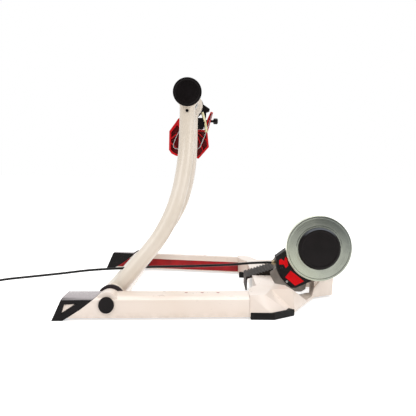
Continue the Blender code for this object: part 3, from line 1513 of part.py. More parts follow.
def make_cover_trim():
    """Screw and the two bare red plates on the front of the cover."""
    face = COVER_FRONT_Y - GAP
    x, z = polar(*COVER_SCREW)
    head = (face - 1.5 * MM, face)
    bolt("cover_screw", (x, 0, z), "Y", (face, -CHEEK_INNER_Y), head, 2.6 * MM, COVER_SCREW_RADIUS)
    for name, corners in (("upper_plate", UPPER_PLATE), ("lower_plate", LOWER_PLATE)):
        outline = [(ROTOR_X + x * MM, ROTOR_Z + z * MM) for x, z in corners]
        slab(name, outline, face - 0.8 * MM, face, "XZ", red_plastic())


def sector(name, radii, angles, ys, finish, group="cutters"):
    """A slice of a ring round the rotor's axis."""
    steps = 6
    turns = [angles[0] + (angles[1] - angles[0]) * i / steps for i in range(steps + 1)]
    outline = [polar(radii[1], a) for a in turns] + [polar(radii[0], a) for a in reversed(turns)]
    return slab(name, outline, *ys, "XZ", finish, group)


def make_carrier():
    """Magnet carrier: a plate on each side of the disc, a bridge and a pivot arm."""
    grey = grey_steel()
    disc_half = BRAKE_DISC_THICKNESS / 2
    inner = disc_half + MAGNET_GAP + MAGNET_THICKNESS + GAP
    outer = inner + CARRIER_PLATE
    front = (BRAKE_DISC_Y - outer, BRAKE_DISC_Y - inner)
    back = (BRAKE_DISC_Y + inner, BRAKE_DISC_Y + outer)
    whole = (front[0], back[1])
    x, z = polar(CARRIER_PIVOT_RADIUS, CARRIER_PIVOT_ANGLE)
    low_r = MAGNET_INNER_RADIUS - 3 * MM
    rim_r = BRAKE_DISC_RADIUS + 5 * MM
    high_r = rim_r + 6 * MM
    plate_r = (low_r, high_r - 1 * MM)
    carrier = sector("magnet_carrier", plate_r, (212, 238), front, grey, "trainer")
    rear = sector("carrier_rear", plate_r, (212, 238), back, grey)
    bridge = sector("carrier_bridge", (rim_r, high_r), (212.5, 237.5), whole, grey)
    arm = sector("carrier_arm", (high_r - 3 * MM, CARRIER_PIVOT_RADIUS), (208, 214.5), whole, grey)
    hub = rod("carrier_hub", (x, 0, z), "Y", CARRIER_HUB_RADIUS, *whole, grey, 20, "cutters")
    lug_outline = [
        (x - 2.5 * MM, z),
        (x - 2.5 * MM, CABLE_Z + 3.5 * MM),
        (x + 3.5 * MM, CABLE_Z + 3.5 * MM),
        (x + 3.5 * MM, z),
    ]
    lug = slab("carrier_lug", lug_outline, CABLE_Y - 3 * MM, CABLE_Y + 3 * MM, "XZ", grey, "cutters")
    bore_ends = (whole[0] - 5 * MM, whole[1] + 5 * MM)
    bore = bolt_hole("carrier_bore", x, z, *bore_ends, CARRIER_PIN_RADIUS + RUN)
    wire_place = (0, CABLE_Y, CABLE_Z)
    wire = rod("nipple_hole", wire_place, "X", 1.2 * MM, x - 9 * MM, x + 9 * MM, grey, 12, "cutters")
    join(carrier, rear, bridge, arm, hub, lug)
    cut(carrier, bore, wire)
    magnet_r = (MAGNET_INNER_RADIUS, BRAKE_DISC_RADIUS - 2 * MM)
    carry(empty("carrier_pivot", (x, 0, z)), carrier)
    back_low = BRAKE_DISC_Y + disc_half + MAGNET_GAP
    for name, low in (("front_magnet", front[1] + GAP), ("back_magnet", back_low)):
        ys = (low, low + MAGNET_THICKNESS)
        magnet = sector(name, magnet_r, (215, 235), ys, bright_steel(), "trainer")
        carry(bpy.data.objects["carrier_pivot"], magnet)


def make_adjuster():
    """Brass barrel with its locknut, where the cable enters the cover."""
    place = (0, CABLE_Y, CABLE_Z)
    end = CABLE_EXIT_X + BARREL_LENGTH
    nut = CABLE_EXIT_X + 3.5 * MM
    profile = [
        (0, CABLE_EXIT_X),
        (BARREL_RADIUS, CABLE_EXIT_X),
        (BARREL_RADIUS, nut),
        (1.45 * BARREL_RADIUS, nut),
        (1.45 * BARREL_RADIUS, nut + 2.5 * MM),
        (BARREL_RADIUS, nut + 2.5 * MM),
        (BARREL_RADIUS, end),
        (0, end),
    ]
    turned("cable_barrel", profile, place, "X", brass(), 20)


def make_unit():
    """The brake unit: cradle, rotor, housing, magnets and cable adjuster."""
    for side, word in ((-1, "left"), (1, "right")):
        make_cheek(word, side)
        make_bearing(word + "_bearing", side)
    make_plate()
    make_rear_tie()
    make_cover()
    make_cover_trim()
    make_carrier()
    make_rotor()
    make_adjuster()


def cable_points():
    """Route of the cable from the brass barrel to the start of its coil."""
    coil_x = COIL_CENTRE.x - COIL_OUTER
    coil_y = COIL_CENTRE.y + 2 * CABLE_RADIUS + GAP
    floor = CABLE_RADIUS + 0.1 * MM
    over_tube = HINGE_Z + CROSS_TUBE_RADIUS + CABLE_RADIUS + GAP
    y = CABLE_Y
    knots = [
        (CABLE_EXIT_X - GAP, y, CABLE_Z),
        (CABLE_EXIT_X - 8 * MM, y, CABLE_Z),
        (70 * MM, y, 69 * MM),
        (33 * MM, y, 65 * MM),
        (-50 * MM, y, 60 * MM),
        (-132 * MM, y, 56.5 * MM),
        (HINGE_X, y, over_tube),
        (-252 * MM, y, 47 * MM),
        (-315 * MM, y, 38.3 * MM),
        (-379 * MM, y, 30 * MM),
        (-430 * MM, y, 23.2 * MM),
        (-462 * MM, -59 * MM, 16.5 * MM),
        (-486 * MM, -73 * MM, 9.5 * MM),
        (-500 * MM, -93 * MM, 4.6 * MM),
        (coil_x, coil_y + 12 * MM, floor),
        (coil_x, coil_y + 5 * MM, floor),
        (coil_x, coil_y, floor),
    ]
    return spline_points([Vector(k) for k in knots], 78)


def coil_radius(turns):
    """Distance from the coil's middle: inwards, a half turn's climb, outwards on top."""
    inward = COIL_TURNS_PER_LAYER
    if turns < inward:
        return COIL_OUTER - COIL_PITCH * turns
    core = COIL_OUTER - COIL_PITCH * inward
    if turns < inward + 0.5:
        return core - COIL_CLIMB_INSET * min((turns - inward) * 8, 1)
    out = turns - inward - 0.5
    return core - COIL_CLIMB_INSET * max(1 - out * 2, 0) + COIL_PITCH * out


def coil_points():
    """Two layers of turns on the floor, as one unbroken line."""
    floor = CABLE_RADIUS + 0.1 * MM
    rise = 2 * CABLE_RADIUS + 0.7 * MM
    count = 2 * COIL_TURNS_PER_LAYER * COIL_LOOP_POINTS
    points = [COIL_CENTRE + Vector((-COIL_OUTER, 2 * CABLE_RADIUS, floor))]
    for i in range(count + 1):
        turns = i / COIL_LOOP_POINTS
        share = min(max((turns - COIL_TURNS_PER_LAYER) * 2, 0), 1)
        height = floor + rise * share * share * (3 - 2 * share)
        radius = coil_radius(turns)
        angle = pi + 2 * pi * turns
        points.append(COIL_CENTRE + Vector((radius * cos(angle), radius * sin(angle), height)))
    steps = 6
    return points + [points[-1] + Vector((0, -TAIL_LENGTH * i / steps, 0)) for i in range(1, steps + 1)]


def least_gap(points, radius):
    """Least clear space between stretches of a tube that aren't neighbours."""
    lengths = [0.0]
    for a, b in zip(points, points[1:]):
        lengths.append(lengths[-1] + (b - a).length)
    apart = 8 * radius
    far = [
        (points[j] - a).length - 2 * radius
        for i, a in enumerate(points)
        for j in range(i + 1, len(points))
        if lengths[j] - lengths[i] > apart
    ]
    return min(far)


def make_cable():
    """Free stretch, coil with its straight end, and the handlebar remote."""
    black = black_plastic()
    route = cable_points()
    coil = coil_points()
    tube("cable", route, CABLE_RADIUS, black, 2)
    tube("cable_coil", coil, CABLE_RADIUS, black, 1)
    print("coil: least gap to itself in mm", round(least_gap(coil, CABLE_RADIUS) / MM, 2))
    length = sum((b - a).length for line in (route, coil) for a, b in zip(line, line[1:]))
    print("cable: whole length in mm", round(length / MM))
    make_remote(coil[-1].x, coil[-1].y - GAP)


SHIFTER_HALF_WIDTH = 16 * MM
SHIFTER_LENGTH = 26 * MM
SHIFTER_HEIGHT = 15 * MM
SHIFTER_PIVOT = 11.5 * MM
SHIFTER_STUD_RADIUS = 3 * MM
SHIFTER_REACH = 42 * MM
BAND_RADIUS = 14 * MM
BAND_WALL = 3.5 * MM
BAND_WIDTH = 14 * MM


def make_remote(x, inlet_y):
    """Handlebar remote on the floor: body with its clamp band, and lever."""
    black = black_plastic()
    floor = 0.1 * MM
    back_y = inlet_y - SHIFTER_LENGTH
    nose = 0.5 * SHIFTER_HALF_WIDTH
    outline = [
        (x - SHIFTER_HALF_WIDTH, inlet_y - 5 * MM),
        (x - nose, inlet_y),
        (x + nose, inlet_y),
        (x + SHIFTER_HALF_WIDTH, inlet_y - 5 * MM),
        (x + SHIFTER_HALF_WIDTH, back_y),
        (x - SHIFTER_HALF_WIDTH, back_y),
    ]
    body = slab("shifter_body", outline, floor, SHIFTER_HEIGHT, "XY", black)
    pivot_y = inlet_y - SHIFTER_PIVOT
    pivot = (x, pivot_y, 0)
    stud_ends = (SHIFTER_HEIGHT - 1 * MM, SHIFTER_HEIGHT + 5.5 * MM)
    stud = rod("shifter_stud", pivot, "Z", SHIFTER_STUD_RADIUS, *stud_ends, black, 16, "cutters")
    join(body, stud)
    low = SHIFTER_HEIGHT + GAP
    lever_outline = [
        *arc((x, pivot_y), 10 * MM, 20, 340, 17),
        (x + 0.8 * SHIFTER_REACH, pivot_y - 5 * MM),
        (x + SHIFTER_REACH, pivot_y - 3 * MM),
        (x + SHIFTER_REACH, pivot_y + 4 * MM),
        (x + 0.8 * SHIFTER_REACH, pivot_y + 6 * MM),
    ]
    lever = slab("shifter_lever", lever_outline, low, low + 4.5 * MM, "XY", red_plastic())
    bore_radius = SHIFTER_STUD_RADIUS + RUN
    bore_ends = (low - 5 * MM, low + 10 * MM)
    cut(lever, rod("shifter_bore", pivot, "Z", bore_radius, *bore_ends, black, 20, "cutters"))
    carry(empty("shifter_pivot", pivot), lever)
    outer = BAND_RADIUS + BAND_WALL
    band_place = (x, back_y - BAND_RADIUS, floor + outer)
    band = tube_profile(1, outer, BAND_RADIUS, -BAND_WIDTH / 2, BAND_WIDTH / 2)
    join(body, turned("shifter_band", band, band_place, "X", black, 32, "cutters"))


def make_trainer():
    start()
    make_base()
    make_arch()
    make_unit()
    make_cable()


make_trainer()
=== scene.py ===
# %% [markdown]
# # A magnetic bike trainer
# A bicycle's rear wheel stands in this folding frame and turns a roller. Magnets brake
# the roller's disc, and a cable to a remote on the handlebar sets how hard.
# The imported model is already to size, so this script gives it its surfaces: rounded
# edges, smooth turned parts, paint, plating and moulded plastic.

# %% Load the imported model
from math import cos, pi, radians, sin, tan

import bmesh
import bpy
from mathutils import Matrix, Vector


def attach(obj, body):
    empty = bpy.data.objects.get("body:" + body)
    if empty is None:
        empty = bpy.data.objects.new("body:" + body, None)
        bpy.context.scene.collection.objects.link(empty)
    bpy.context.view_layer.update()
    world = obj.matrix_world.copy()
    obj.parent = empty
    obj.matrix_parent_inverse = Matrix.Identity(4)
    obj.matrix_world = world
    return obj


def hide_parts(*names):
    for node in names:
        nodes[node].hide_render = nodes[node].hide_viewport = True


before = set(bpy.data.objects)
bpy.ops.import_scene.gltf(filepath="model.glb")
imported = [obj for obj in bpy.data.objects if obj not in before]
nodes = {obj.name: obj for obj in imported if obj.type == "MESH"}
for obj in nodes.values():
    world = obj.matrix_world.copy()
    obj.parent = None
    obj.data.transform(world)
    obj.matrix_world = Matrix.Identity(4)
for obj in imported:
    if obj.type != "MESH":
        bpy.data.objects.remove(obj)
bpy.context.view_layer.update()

MM = 0.001
SIDES = ((-1, "left"), (1, "right"))

# %% [markdown]
# ## The camera
# The photograph was taken from the trainer's left side, from about 1.3 m away and
# 0.26 m above the floor. A camera could be placed by eye, but edges that are known in
# millimetres, such as the feet and the flywheel's rim, fix its place and its turn.

# %% Camera
CAMERA_PLACE = Vector((-9.5, -1305.9, 261.8)) * MM
CAMERA_YAW = 0.0043
CAMERA_PITCH = 0.0648
CAMERA_ROLL = 0.0232
CAMERA_LENS = 53.09
SENSOR_WIDTH = 36

camera_data = bpy.data.cameras.new("photo_camera")
camera_data.lens = CAMERA_LENS
camera_data.sensor_width = SENSOR_WIDTH
camera = bpy.data.objects.new("photo_camera", camera_data)
bpy.context.scene.collection.objects.link(camera)
camera.matrix_world = (
    Matrix.Translation(CAMERA_PLACE)
    @ Matrix.Rotation(CAMERA_YAW, 4, "Z")
    @ Matrix.Rotation(pi / 2 - CAMERA_PITCH, 4, "X")
    @ Matrix.Rotation(CAMERA_ROLL, 4, "Z")
)
bpy.context.scene.camera = camera
bpy.context.scene.view_settings.view_transform = "Standard"
print("camera:", [round(v, 3) for v in camera.location], "lens", camera_data.lens)

# %% [markdown]
# ## Nodes and colours
# Every material below is a few shader nodes. One helper adds a node, sets it and
# links it, so a material reads as a list. Colours are written as sRGB hex, as a
# paint chart gives them, and one function turns them to the linear values that
# Blender works in. A pattern's scale is written as the size of its lumps.

# %% Helpers for materials
def linear(code):
    """An sRGB hex colour as linear red, green, blue and alpha."""
    parts = [int(code[i : i + 2], 16) / 255 for i in (1, 3, 5)]
    return (*[c / 12.92 if c <= 0.04045 else ((c + 0.055) / 1.055) ** 2.4 for c in parts], 1)


def lumps(size_mm):
    """The scale at which a pattern's lumps are about size_mm across."""
    return 1000 / size_mm


def add(tree, kind, inputs=None, **settings):
    """A shader node; each input is a value, a hex colour, a socket or another node."""
    made = tree.nodes.new(kind)
    for name, value in settings.items():
        setattr(made, name, value)
    for name, value in (inputs or {}).items():
        if isinstance(value, bpy.types.Node):
            value = next(socket for socket in value.outputs if socket.enabled)
        if isinstance(value, bpy.types.NodeSocket):
            tree.links.new(value, made.inputs[name])
        else:
            made.inputs[name].default_value = linear(value) if isinstance(value, str) else value
    return made


def new_material(name):
    """An empty material and its node tree."""
    made = bpy.data.materials.new(name)
    made.use_nodes = True
    made.node_tree.nodes.clear()
    return made, made.node_tree


print("half grey as a linear value:", round(linear("#808080")[0], 3))

# %% [markdown]
# ## Floor, backdrop and light
# The photograph is a cut-out on white. A studio makes that with a white sweep and big
# soft lamps. Here the world is white to the camera and to reflections, and plain grey
# light to the object, so that the paint shows its own colour. The floor is a pale
# surface, lifted a little for the same rays only, and it keeps the trainer's shadow.

# %% World
ROOM_LIGHT = 0.56

world = bpy.data.worlds.new("white_room")
bpy.context.scene.world = world
world.use_nodes = True
room = world.node_tree
room.nodes.clear()


def seen_directly(tree):
    """1 for rays from the camera, from a reflection or through glass, otherwise 0."""
    rays = add(tree, "ShaderNodeLightPath").outputs
    plain_sight = {0: rays["Is Camera Ray"], 1: rays["Is Glossy Ray"]}
    either = add(tree, "ShaderNodeMath", plain_sight, operation="MAXIMUM")
    any_sight = {0: either, 1: rays["Is Transmission Ray"]}
    return add(tree, "ShaderNodeMath", any_sight, operation="MAXIMUM")


plain = add(room, "ShaderNodeBackground", {"Color": "#F4F2F0", "Strength": ROOM_LIGHT})
white = add(room, "ShaderNodeBackground", {"Color": "#FFFFFF", "Strength": 1.0})
mixed = add(room, "ShaderNodeMixShader", {0: seen_directly(room), 1: plain, 2: white})
add(room, "ShaderNodeOutputWorld", {"Surface": mixed})
print("world:", world.name)

# %% Floor
FLOOR_SIZE = 24
FLOOR_DROP = 0.3 * MM
FLOOR_LIFT = 0.62


def studio_object(name, shape):
    """An object of the studio, made of a finished mesh."""
    mesh = bpy.data.meshes.new(name)
    shape.to_mesh(mesh)
    shape.free()
    made = bpy.data.objects.new(name, mesh)
    bpy.context.scene.collection.objects.link(made)
    return made


floor_shape = bmesh.new()
bmesh.ops.create_grid(floor_shape, x_segments=1, y_segments=1, size=FLOOR_SIZE / 2)
bmesh.ops.translate(floor_shape, vec=(0, 0, -FLOOR_DROP), verts=floor_shape.verts)
floor = studio_object("floor", floor_shape)

matt_white, tree = new_material("matt_white_studio_floor")
drift = add(tree, "ShaderNodeTexNoise", {"Scale": 3.0})
tone = add(
    tree,
    "ShaderNodeMix",
    {"Factor": drift, "A": "#F5F5F5", "B": "#FAFAFA"},
    data_type="RGBA",
)
paper = add(tree, "ShaderNodeBsdfDiffuse", {"Color": tone})
lift = add(tree, "ShaderNodeEmission", {"Color": "#FFFFFF", "Strength": FLOOR_LIFT})
both = add(tree, "ShaderNodeAddShader", {0: paper, 1: lift})
chosen = add(tree, "ShaderNodeMixShader", {0: seen_directly(tree), 1: paper, 2: both})
add(tree, "ShaderNodeOutputMaterial", {"Surface": chosen})
floor.data.materials.append(matt_white)
print("floor:", FLOOR_SIZE, "m wide")


# %% Lamps
def softbox(name, place, aim, size, power):
    """A square lamp that faces a point."""
    data = bpy.data.lights.new(name, "AREA")
    data.shape = "SQUARE"
    data.size = size
    data.energy = power
    lamp = bpy.data.objects.new(name, data)
    lamp.location = place
    lamp.rotation_euler = (Vector(aim) - Vector(place)).to_track_quat("-Z", "Y").to_euler()
    bpy.context.scene.collection.objects.link(lamp)


softbox("key_softbox", (-1.3, -1.6, 1.9), (0, 0, 0.15), 1.2, 18)
softbox("fill_softbox", (1.7, -1.5, 1.2), (0.1, 0, 0.1), 1.2, 15)
softbox("top_softbox", (0.1, 0.5, 2.2), (0, 0, 0.1), 1.6, 22)

# %% [markdown]
# The lower half of the flywheel mirrors the white floor and its upper half the dark
# room behind the camera. A photographer hangs a black card, called a flag, to get such
# a fall of tone on metal. Here one large card stands behind the camera. Only mirror
# rays meet it, so that it takes no light off the paint.

# %% Dark flag
FLAG_WIDTH = 5.0
FLAG_LOW = 0.01
FLAG_HIGH = 2.6
FLAG_Y = -1.55

flag_shape = bmesh.new()
corners = flag_shape.verts
bmesh.ops.create_grid(flag_shape, x_segments=1, y_segments=1, size=0.5)
bmesh.ops.scale(flag_shape, vec=(FLAG_WIDTH, FLAG_HIGH - FLAG_LOW, 1), verts=corners)
upright = Matrix.Rotation(pi / 2, 3, "X")
bmesh.ops.rotate(flag_shape, cent=(0, 0, 0), matrix=upright, verts=corners)
bmesh.ops.translate(flag_shape, vec=(0, FLAG_Y, (FLAG_LOW + FLAG_HIGH) / 2), verts=corners)
flag = studio_object("dark_flag", flag_shape)
flag.visible_camera = False
flag.visible_diffuse = False
flag.visible_shadow = False
flag.visible_transmission = False

black_cloth, tree = new_material("black_velvet_flag")
pile = add(tree, "ShaderNodeTexNoise", {"Scale": 40.0})
velvet = add(
    tree,
    "ShaderNodeMix",
    {"Factor": pile, "A": "#141414", "B": "#1C1C1C"},
    data_type="RGBA",
)
cloth = add(tree, "ShaderNodeBsdfDiffuse", {"Color": velvet})
add(tree, "ShaderNodeOutputMaterial", {"Surface": cloth})
flag.data.materials.append(black_cloth)
print("flag from", FLAG_LOW, "to", FLAG_HIGH, "m")

# %% [markdown]
# ## Powder coat
# The frame is steel with a cream polyester powder coat. The powder is sprayed dry and
# melts into a film with a faint orange-peel skin, about 1.5 mm from dimple to dimple.
# It reads as a soft gloss with wavering highlights. A little floor dust greys the
# lowest few millimetres, as on any frame that stands on a garage floor. The arch was
# coated apart from the base, and its film is a shade greyer. Every pattern here starts
# from the point on the object, so it stays put when the piece moves.

# %% Powder coat material
DUST_LOW = 4 * MM
DUST_HIGH = 16 * MM
DUST_SHARE = 0.34


def powder_coat(name, deep, pale):
    """Sprayed film: a drift between two tones, floor dust low down, an orange-peel skin."""
    made, tree = new_material(name)
    place = add(tree, "ShaderNodeTexCoord").outputs["Object"]
    clouds = add(tree, "ShaderNodeTexNoise", {"Vector": place, "Scale": lumps(90)})
    drift = add(tree, "ShaderNodeMapRange", {"Value": clouds, "From Min": 0.35, "From Max": 0.65})
    clean = add(tree, "ShaderNodeMix", {"Factor": drift, "A": deep, "B": pale}, data_type="RGBA")
    height = add(tree, "ShaderNodeSeparateXYZ", {0: place}).outputs["Z"]
    near_floor = add(
        tree,
        "ShaderNodeMapRange",
        {
            "Value": height,
            "From Min": DUST_LOW,
            "From Max": DUST_HIGH,
            "To Min": DUST_SHARE,
            "To Max": 0.0,
        },
    )
    smudges = add(tree, "ShaderNodeTexNoise", {"Vector": place, "Scale": lumps(9), "Detail": 4.0})
    patchy = add(tree, "ShaderNodeMapRange", {"Value": smudges, "From Min": 0.4, "From Max": 0.7})
    dust = add(tree, "ShaderNodeMath", {0: near_floor, 1: patchy}, operation="MULTIPLY")
    colour = add(
        tree,
        "ShaderNodeMix",
        {"Factor": dust, "A": clean, "B": "#B9AA9A"},
        data_type="RGBA",
    )
    dimples = add(tree, "ShaderNodeTexNoise", {"Vector": place, "Scale": lumps(1.5), "Detail": 1.0})
    peel = add(tree, "ShaderNodeBump", {"Height": dimples, "Distance": 0.03 * MM, "Strength": 0.35})
    waver = add(tree, "ShaderNodeTexNoise", {"Vector": place, "Scale": lumps(14), "Detail": 3.0})
    gloss = add(
        tree,
        "ShaderNodeMapRange",
        {"Value": waver, "From Min": 0.3, "From Max": 0.7, "To Min": 0.27, "To Max": 0.36},
    )
    film = add(
        tree,
        "ShaderNodeBsdfPrincipled",
        {
            "Base Color": colour,
            "Roughness": gloss,
            "Normal": peel,
            "Coat Weight": 0.25,
            "Coat Roughness": 0.12,
        },
    )
    add(tree, "ShaderNodeOutputMaterial", {"Surface": film})
    return made


cream_paint = powder_coat("cream_polyester_powder_coat", "#EADACC", "#F1E3D8")
arch_paint = powder_coat("cream_powder_coat_arch", "#E3D7C7", "#EBE0D3")
print("paints:", cream_paint.name, arch_paint.name)

# %% [markdown]
# ## Moulded plastics
# The feet, caps, bracket and magnet housing are black ABS, injection moulded in a
# spark-eroded mould, so their skin has a fine even grain of about 0.7 mm. It takes a
# broken sheen and looks dark grey where light grazes it. The feet's level tops look
# pale with the glare of the white sweep, so their top faces carry a pale grey painted
# reflection. The upper bevel of the hub cap carries a darker, bluish painted reflection.
# The liners and the lever are smoother red polypropylene. Rubber, the cable's jacket and
# the two enamelled plates need the same nodes with other numbers. Each call below gives
# two tones, the grain's size and depth in millimetres, the least and the most roughness,
# and the level of gloss. Some calls also give a painted reflection's tone and how far up
# a face must point to take it.

# %% Moulded plastic materials
# How quickly the painted reflection on top faces fades in as a face turns upward.
TOP_REFLECTION_FADE = 0.2


def moulded(
    name,
    deep,
    pale,
    grain_mm,
    depth_mm,
    smoothest,
    roughest,
    gloss_level=0.5,
    painted_top_reflection=None,
    top_reflection_from=0.75,
):
    """Moulded plastic: a drift between two tones, an even grain, a painted reflection on its top
    faces.
    """
    made, tree = new_material(name)
    place = add(tree, "ShaderNodeTexCoord").outputs["Object"]
    clouds = add(tree, "ShaderNodeTexNoise", {"Vector": place, "Scale": lumps(25), "Detail": 3.0})
    drift = add(tree, "ShaderNodeMapRange", {"Value": clouds, "From Min": 0.35, "From Max": 0.7})
    colour = add(tree, "ShaderNodeMix", {"Factor": drift, "A": deep, "B": pale}, data_type="RGBA")
    # Painted reflection: faces that point up take a paler tone that stands in for the glare of the
    # white sweep.
    if painted_top_reflection:
        facing = add(tree, "ShaderNodeTexCoord").outputs["Normal"]
        upward = add(tree, "ShaderNodeSeparateXYZ", {0: facing}).outputs["Z"]
        level = {"Value": upward, "From Min": top_reflection_from, "From Max": top_reflection_from + TOP_REFLECTION_FADE}
        on_top = add(tree, "ShaderNodeMapRange", level)
        colour = add(
            tree,
            "ShaderNodeMix",
            {"Factor": on_top, "A": colour, "B": painted_top_reflection},
            data_type="RGBA",
        )
    grain = add(
        tree,
        "ShaderNodeTexNoise",
        {"Vector": place, "Scale": lumps(grain_mm), "Detail": 2.0, "Roughness": 0.6},
    )
    skin = add(
        tree,
        "ShaderNodeBump",
        {"Height": grain, "Distance": depth_mm * MM, "Strength": 0.6},
    )
    wear = add(
        tree,
        "ShaderNodeTexNoise",
        {"Vector": place, "Scale": lumps(5 * grain_mm), "Detail": 3.0},
    )
    gloss = add(
        tree,
        "ShaderNodeMapRange",
        {"Value": wear, "From Min": 0.3, "From Max": 0.7, "To Min": smoothest, "To Max": roughest},
    )
    plastic = add(
        tree,
        "ShaderNodeBsdfPrincipled",
        {
            "Base Color": colour,
            "Roughness": gloss,
            "Normal": skin,
            "Specular IOR Level": gloss_level,
        },
    )
    add(tree, "ShaderNodeOutputMaterial", {"Surface": plastic})
    return made


black_abs = moulded("black_moulded_abs", "#0F0B0B", "#161112", 0.7, 0.05, 0.34, 0.46, 0.16)
# The feet's pale grey tone on top is a painted reflection, and so is the hub cap's bluish tone on
# its upper bevel.
foot_abs = moulded(
    "black_glossy_abs_feet", "#0B0909", "#140F10", 0.9, 0.03, 0.2, 0.3, 0.14, "#B0A9AB"
)
hub_abs = moulded(
    "black_moulded_abs_hub_cap", "#0F0B0B", "#161112", 0.7, 0.05, 0.34, 0.46, 0.16, "#5C6066", 0.45
)
disc_nylon = moulded("dark_nylon_friction_disc", "#2E262B", "#41383D", 0.9, 0.04, 0.35, 0.5, 0.3)
cover_abs = moulded("black_spark_eroded_abs", "#100E0F", "#1C191A", 1.1, 0.12, 0.42, 0.58, 0.22)
rubber_foot = moulded("black_nitrile_rubber", "#0D0C0C", "#171515", 1.2, 0.05, 0.55, 0.72, 0.2)
cable_jacket = moulded("black_pvc_cable_jacket", "#0C0B0B", "#151314", 1.0, 0.02, 0.28, 0.4, 0.25)
sleeve_rubber = moulded("dark_polyurethane_sleeve", "#262528", "#353438", 1.3, 0.08, 0.6, 0.75)
red_liner = moulded("red_moulded_polypropylene", "#8C0911", "#AE101A", 1.4, 0.04, 0.35, 0.45, 0.3)
red_enamel = moulded("red_enamelled_plate", "#E60812", "#F3101C", 1.5, 0.02, 0.3, 0.4, 0.1)
remote_red = moulded("red_moulded_remote_lever", "#B00C16", "#C8121C", 1.2, 0.03, 0.3, 0.42, 0.35)
print("materials so far:", len(bpy.data.materials))

# %% [markdown]
# The quick lever's web lies about 9 mm behind its rims, and little light gets into
# the triangles between them. The moulding is one colour, so the fields carry painted
# shade that makes them dark beside the bright rims, and its tone follows the depth of
# the pocket. The outer face points the other way and stays bright.

# %% Lever plastic
LEVER_RIM_Y = 153 * MM
LEVER_WEB_Y = 162 * MM


def lever_plastic(name):
    """Red polypropylene, with bright rims and painted shade down in the pockets."""
    made, tree = new_material(name)
    coordinates = add(tree, "ShaderNodeTexCoord").outputs
    place = coordinates["Object"]
    depth = add(tree, "ShaderNodeSeparateXYZ", {0: place}).outputs["Y"]
    # Painted shade: faces deep in a pocket that don't face outward take the dark red.
    sunk = {"Value": depth, "From Min": LEVER_RIM_Y + 1 * MM, "From Max": LEVER_WEB_Y}
    pocket = add(tree, "ShaderNodeMapRange", sunk)
    outward = add(tree, "ShaderNodeSeparateXYZ", {0: coordinates["Normal"]}).outputs["Y"]
    inner = add(tree, "ShaderNodeMapRange", {"Value": outward, "From Min": 0.6, "From Max": 0.2})
    inside = add(tree, "ShaderNodeMath", {0: pocket, 1: inner}, operation="MULTIPLY")
    clouds = add(tree, "ShaderNodeTexNoise", {"Vector": place, "Scale": lumps(18), "Detail": 3.0})
    drift = add(tree, "ShaderNodeMapRange", {"Value": clouds, "From Min": 0.35, "From Max": 0.7})
    rim = add(
        tree,
        "ShaderNodeMix",
        {"Factor": drift, "A": "#CE0D17", "B": "#DE1620"},
        data_type="RGBA",
    )
    shaded_field = add(
        tree,
        "ShaderNodeMix",
        {"Factor": drift, "A": "#6A0710", "B": "#820B15"},
        data_type="RGBA",
    )
    colour = add(tree, "ShaderNodeMix", {"Factor": inside, "A": rim, "B": shaded_field}, data_type="RGBA")
    wear = add(tree, "ShaderNodeTexNoise", {"Vector": place, "Scale": lumps(6), "Detail": 3.0})
    gloss = add(
        tree,
        "ShaderNodeMapRange",
        {"Value": wear, "From Min": 0.3, "From Max": 0.7, "To Min": 0.26, "To Max": 0.38},
    )
    grain = add(tree, "ShaderNodeTexNoise", {"Vector": place, "Scale": lumps(1.2)})
    skin = add(tree, "ShaderNodeBump", {"Height": grain, "Distance": 0.03 * MM, "Strength": 0.5})
    plastic = add(
        tree,
        "ShaderNodeBsdfPrincipled",
        {"Base Color": colour, "Roughness": gloss, "Normal": skin, "Specular IOR Level": 0.3},
    )
    add(tree, "ShaderNodeOutputMaterial", {"Surface": plastic})
    return made


red_lever = lever_plastic("red_ribbed_lever_plastic")
print("material:", red_lever.name)

# %% [markdown]
# ## Metals
# Three finishes carry the metal parts. The flywheel, the spindles and the discs were
# turned on a lathe, which leaves rings about their own axis, so their pattern depends
# only on the distance from that axis. The cradle is sheet steel with a grey coat. The
# small rod has yellow passivated zinc, whose colour wanders from straw to green.
# Plain metals keep the default IOR, and their colour is that of the reflection. The
# flywheel's face also carries a painted reflection. It is darker towards its upper right,
# where it stands for the dark room, and paler towards its lower left, where it stands for
# the white floor. Its rim carries a painted highlight. Each call below gives two tones,
# the rings' width in millimetres, and the least and the most roughness. The flywheel's
# call also gives the rim's painted highlight and the two tones of its painted reflection.

# %% Turned metal
# The first two radii bound the rim's painted highlight. The other four set where the flywheel's
# painted reflection falls.
RIM_START = 64.6 * MM
RIM_END = 65.2 * MM
PAINTED_REFLECTION_DIRECTION = (0.7, 0, 0.7)
PAINTED_REFLECTION_REACH = 56 * MM
PAINTED_REFLECTION_FROM = 0.45
PAINTED_REFLECTION_SHARE = 0.85


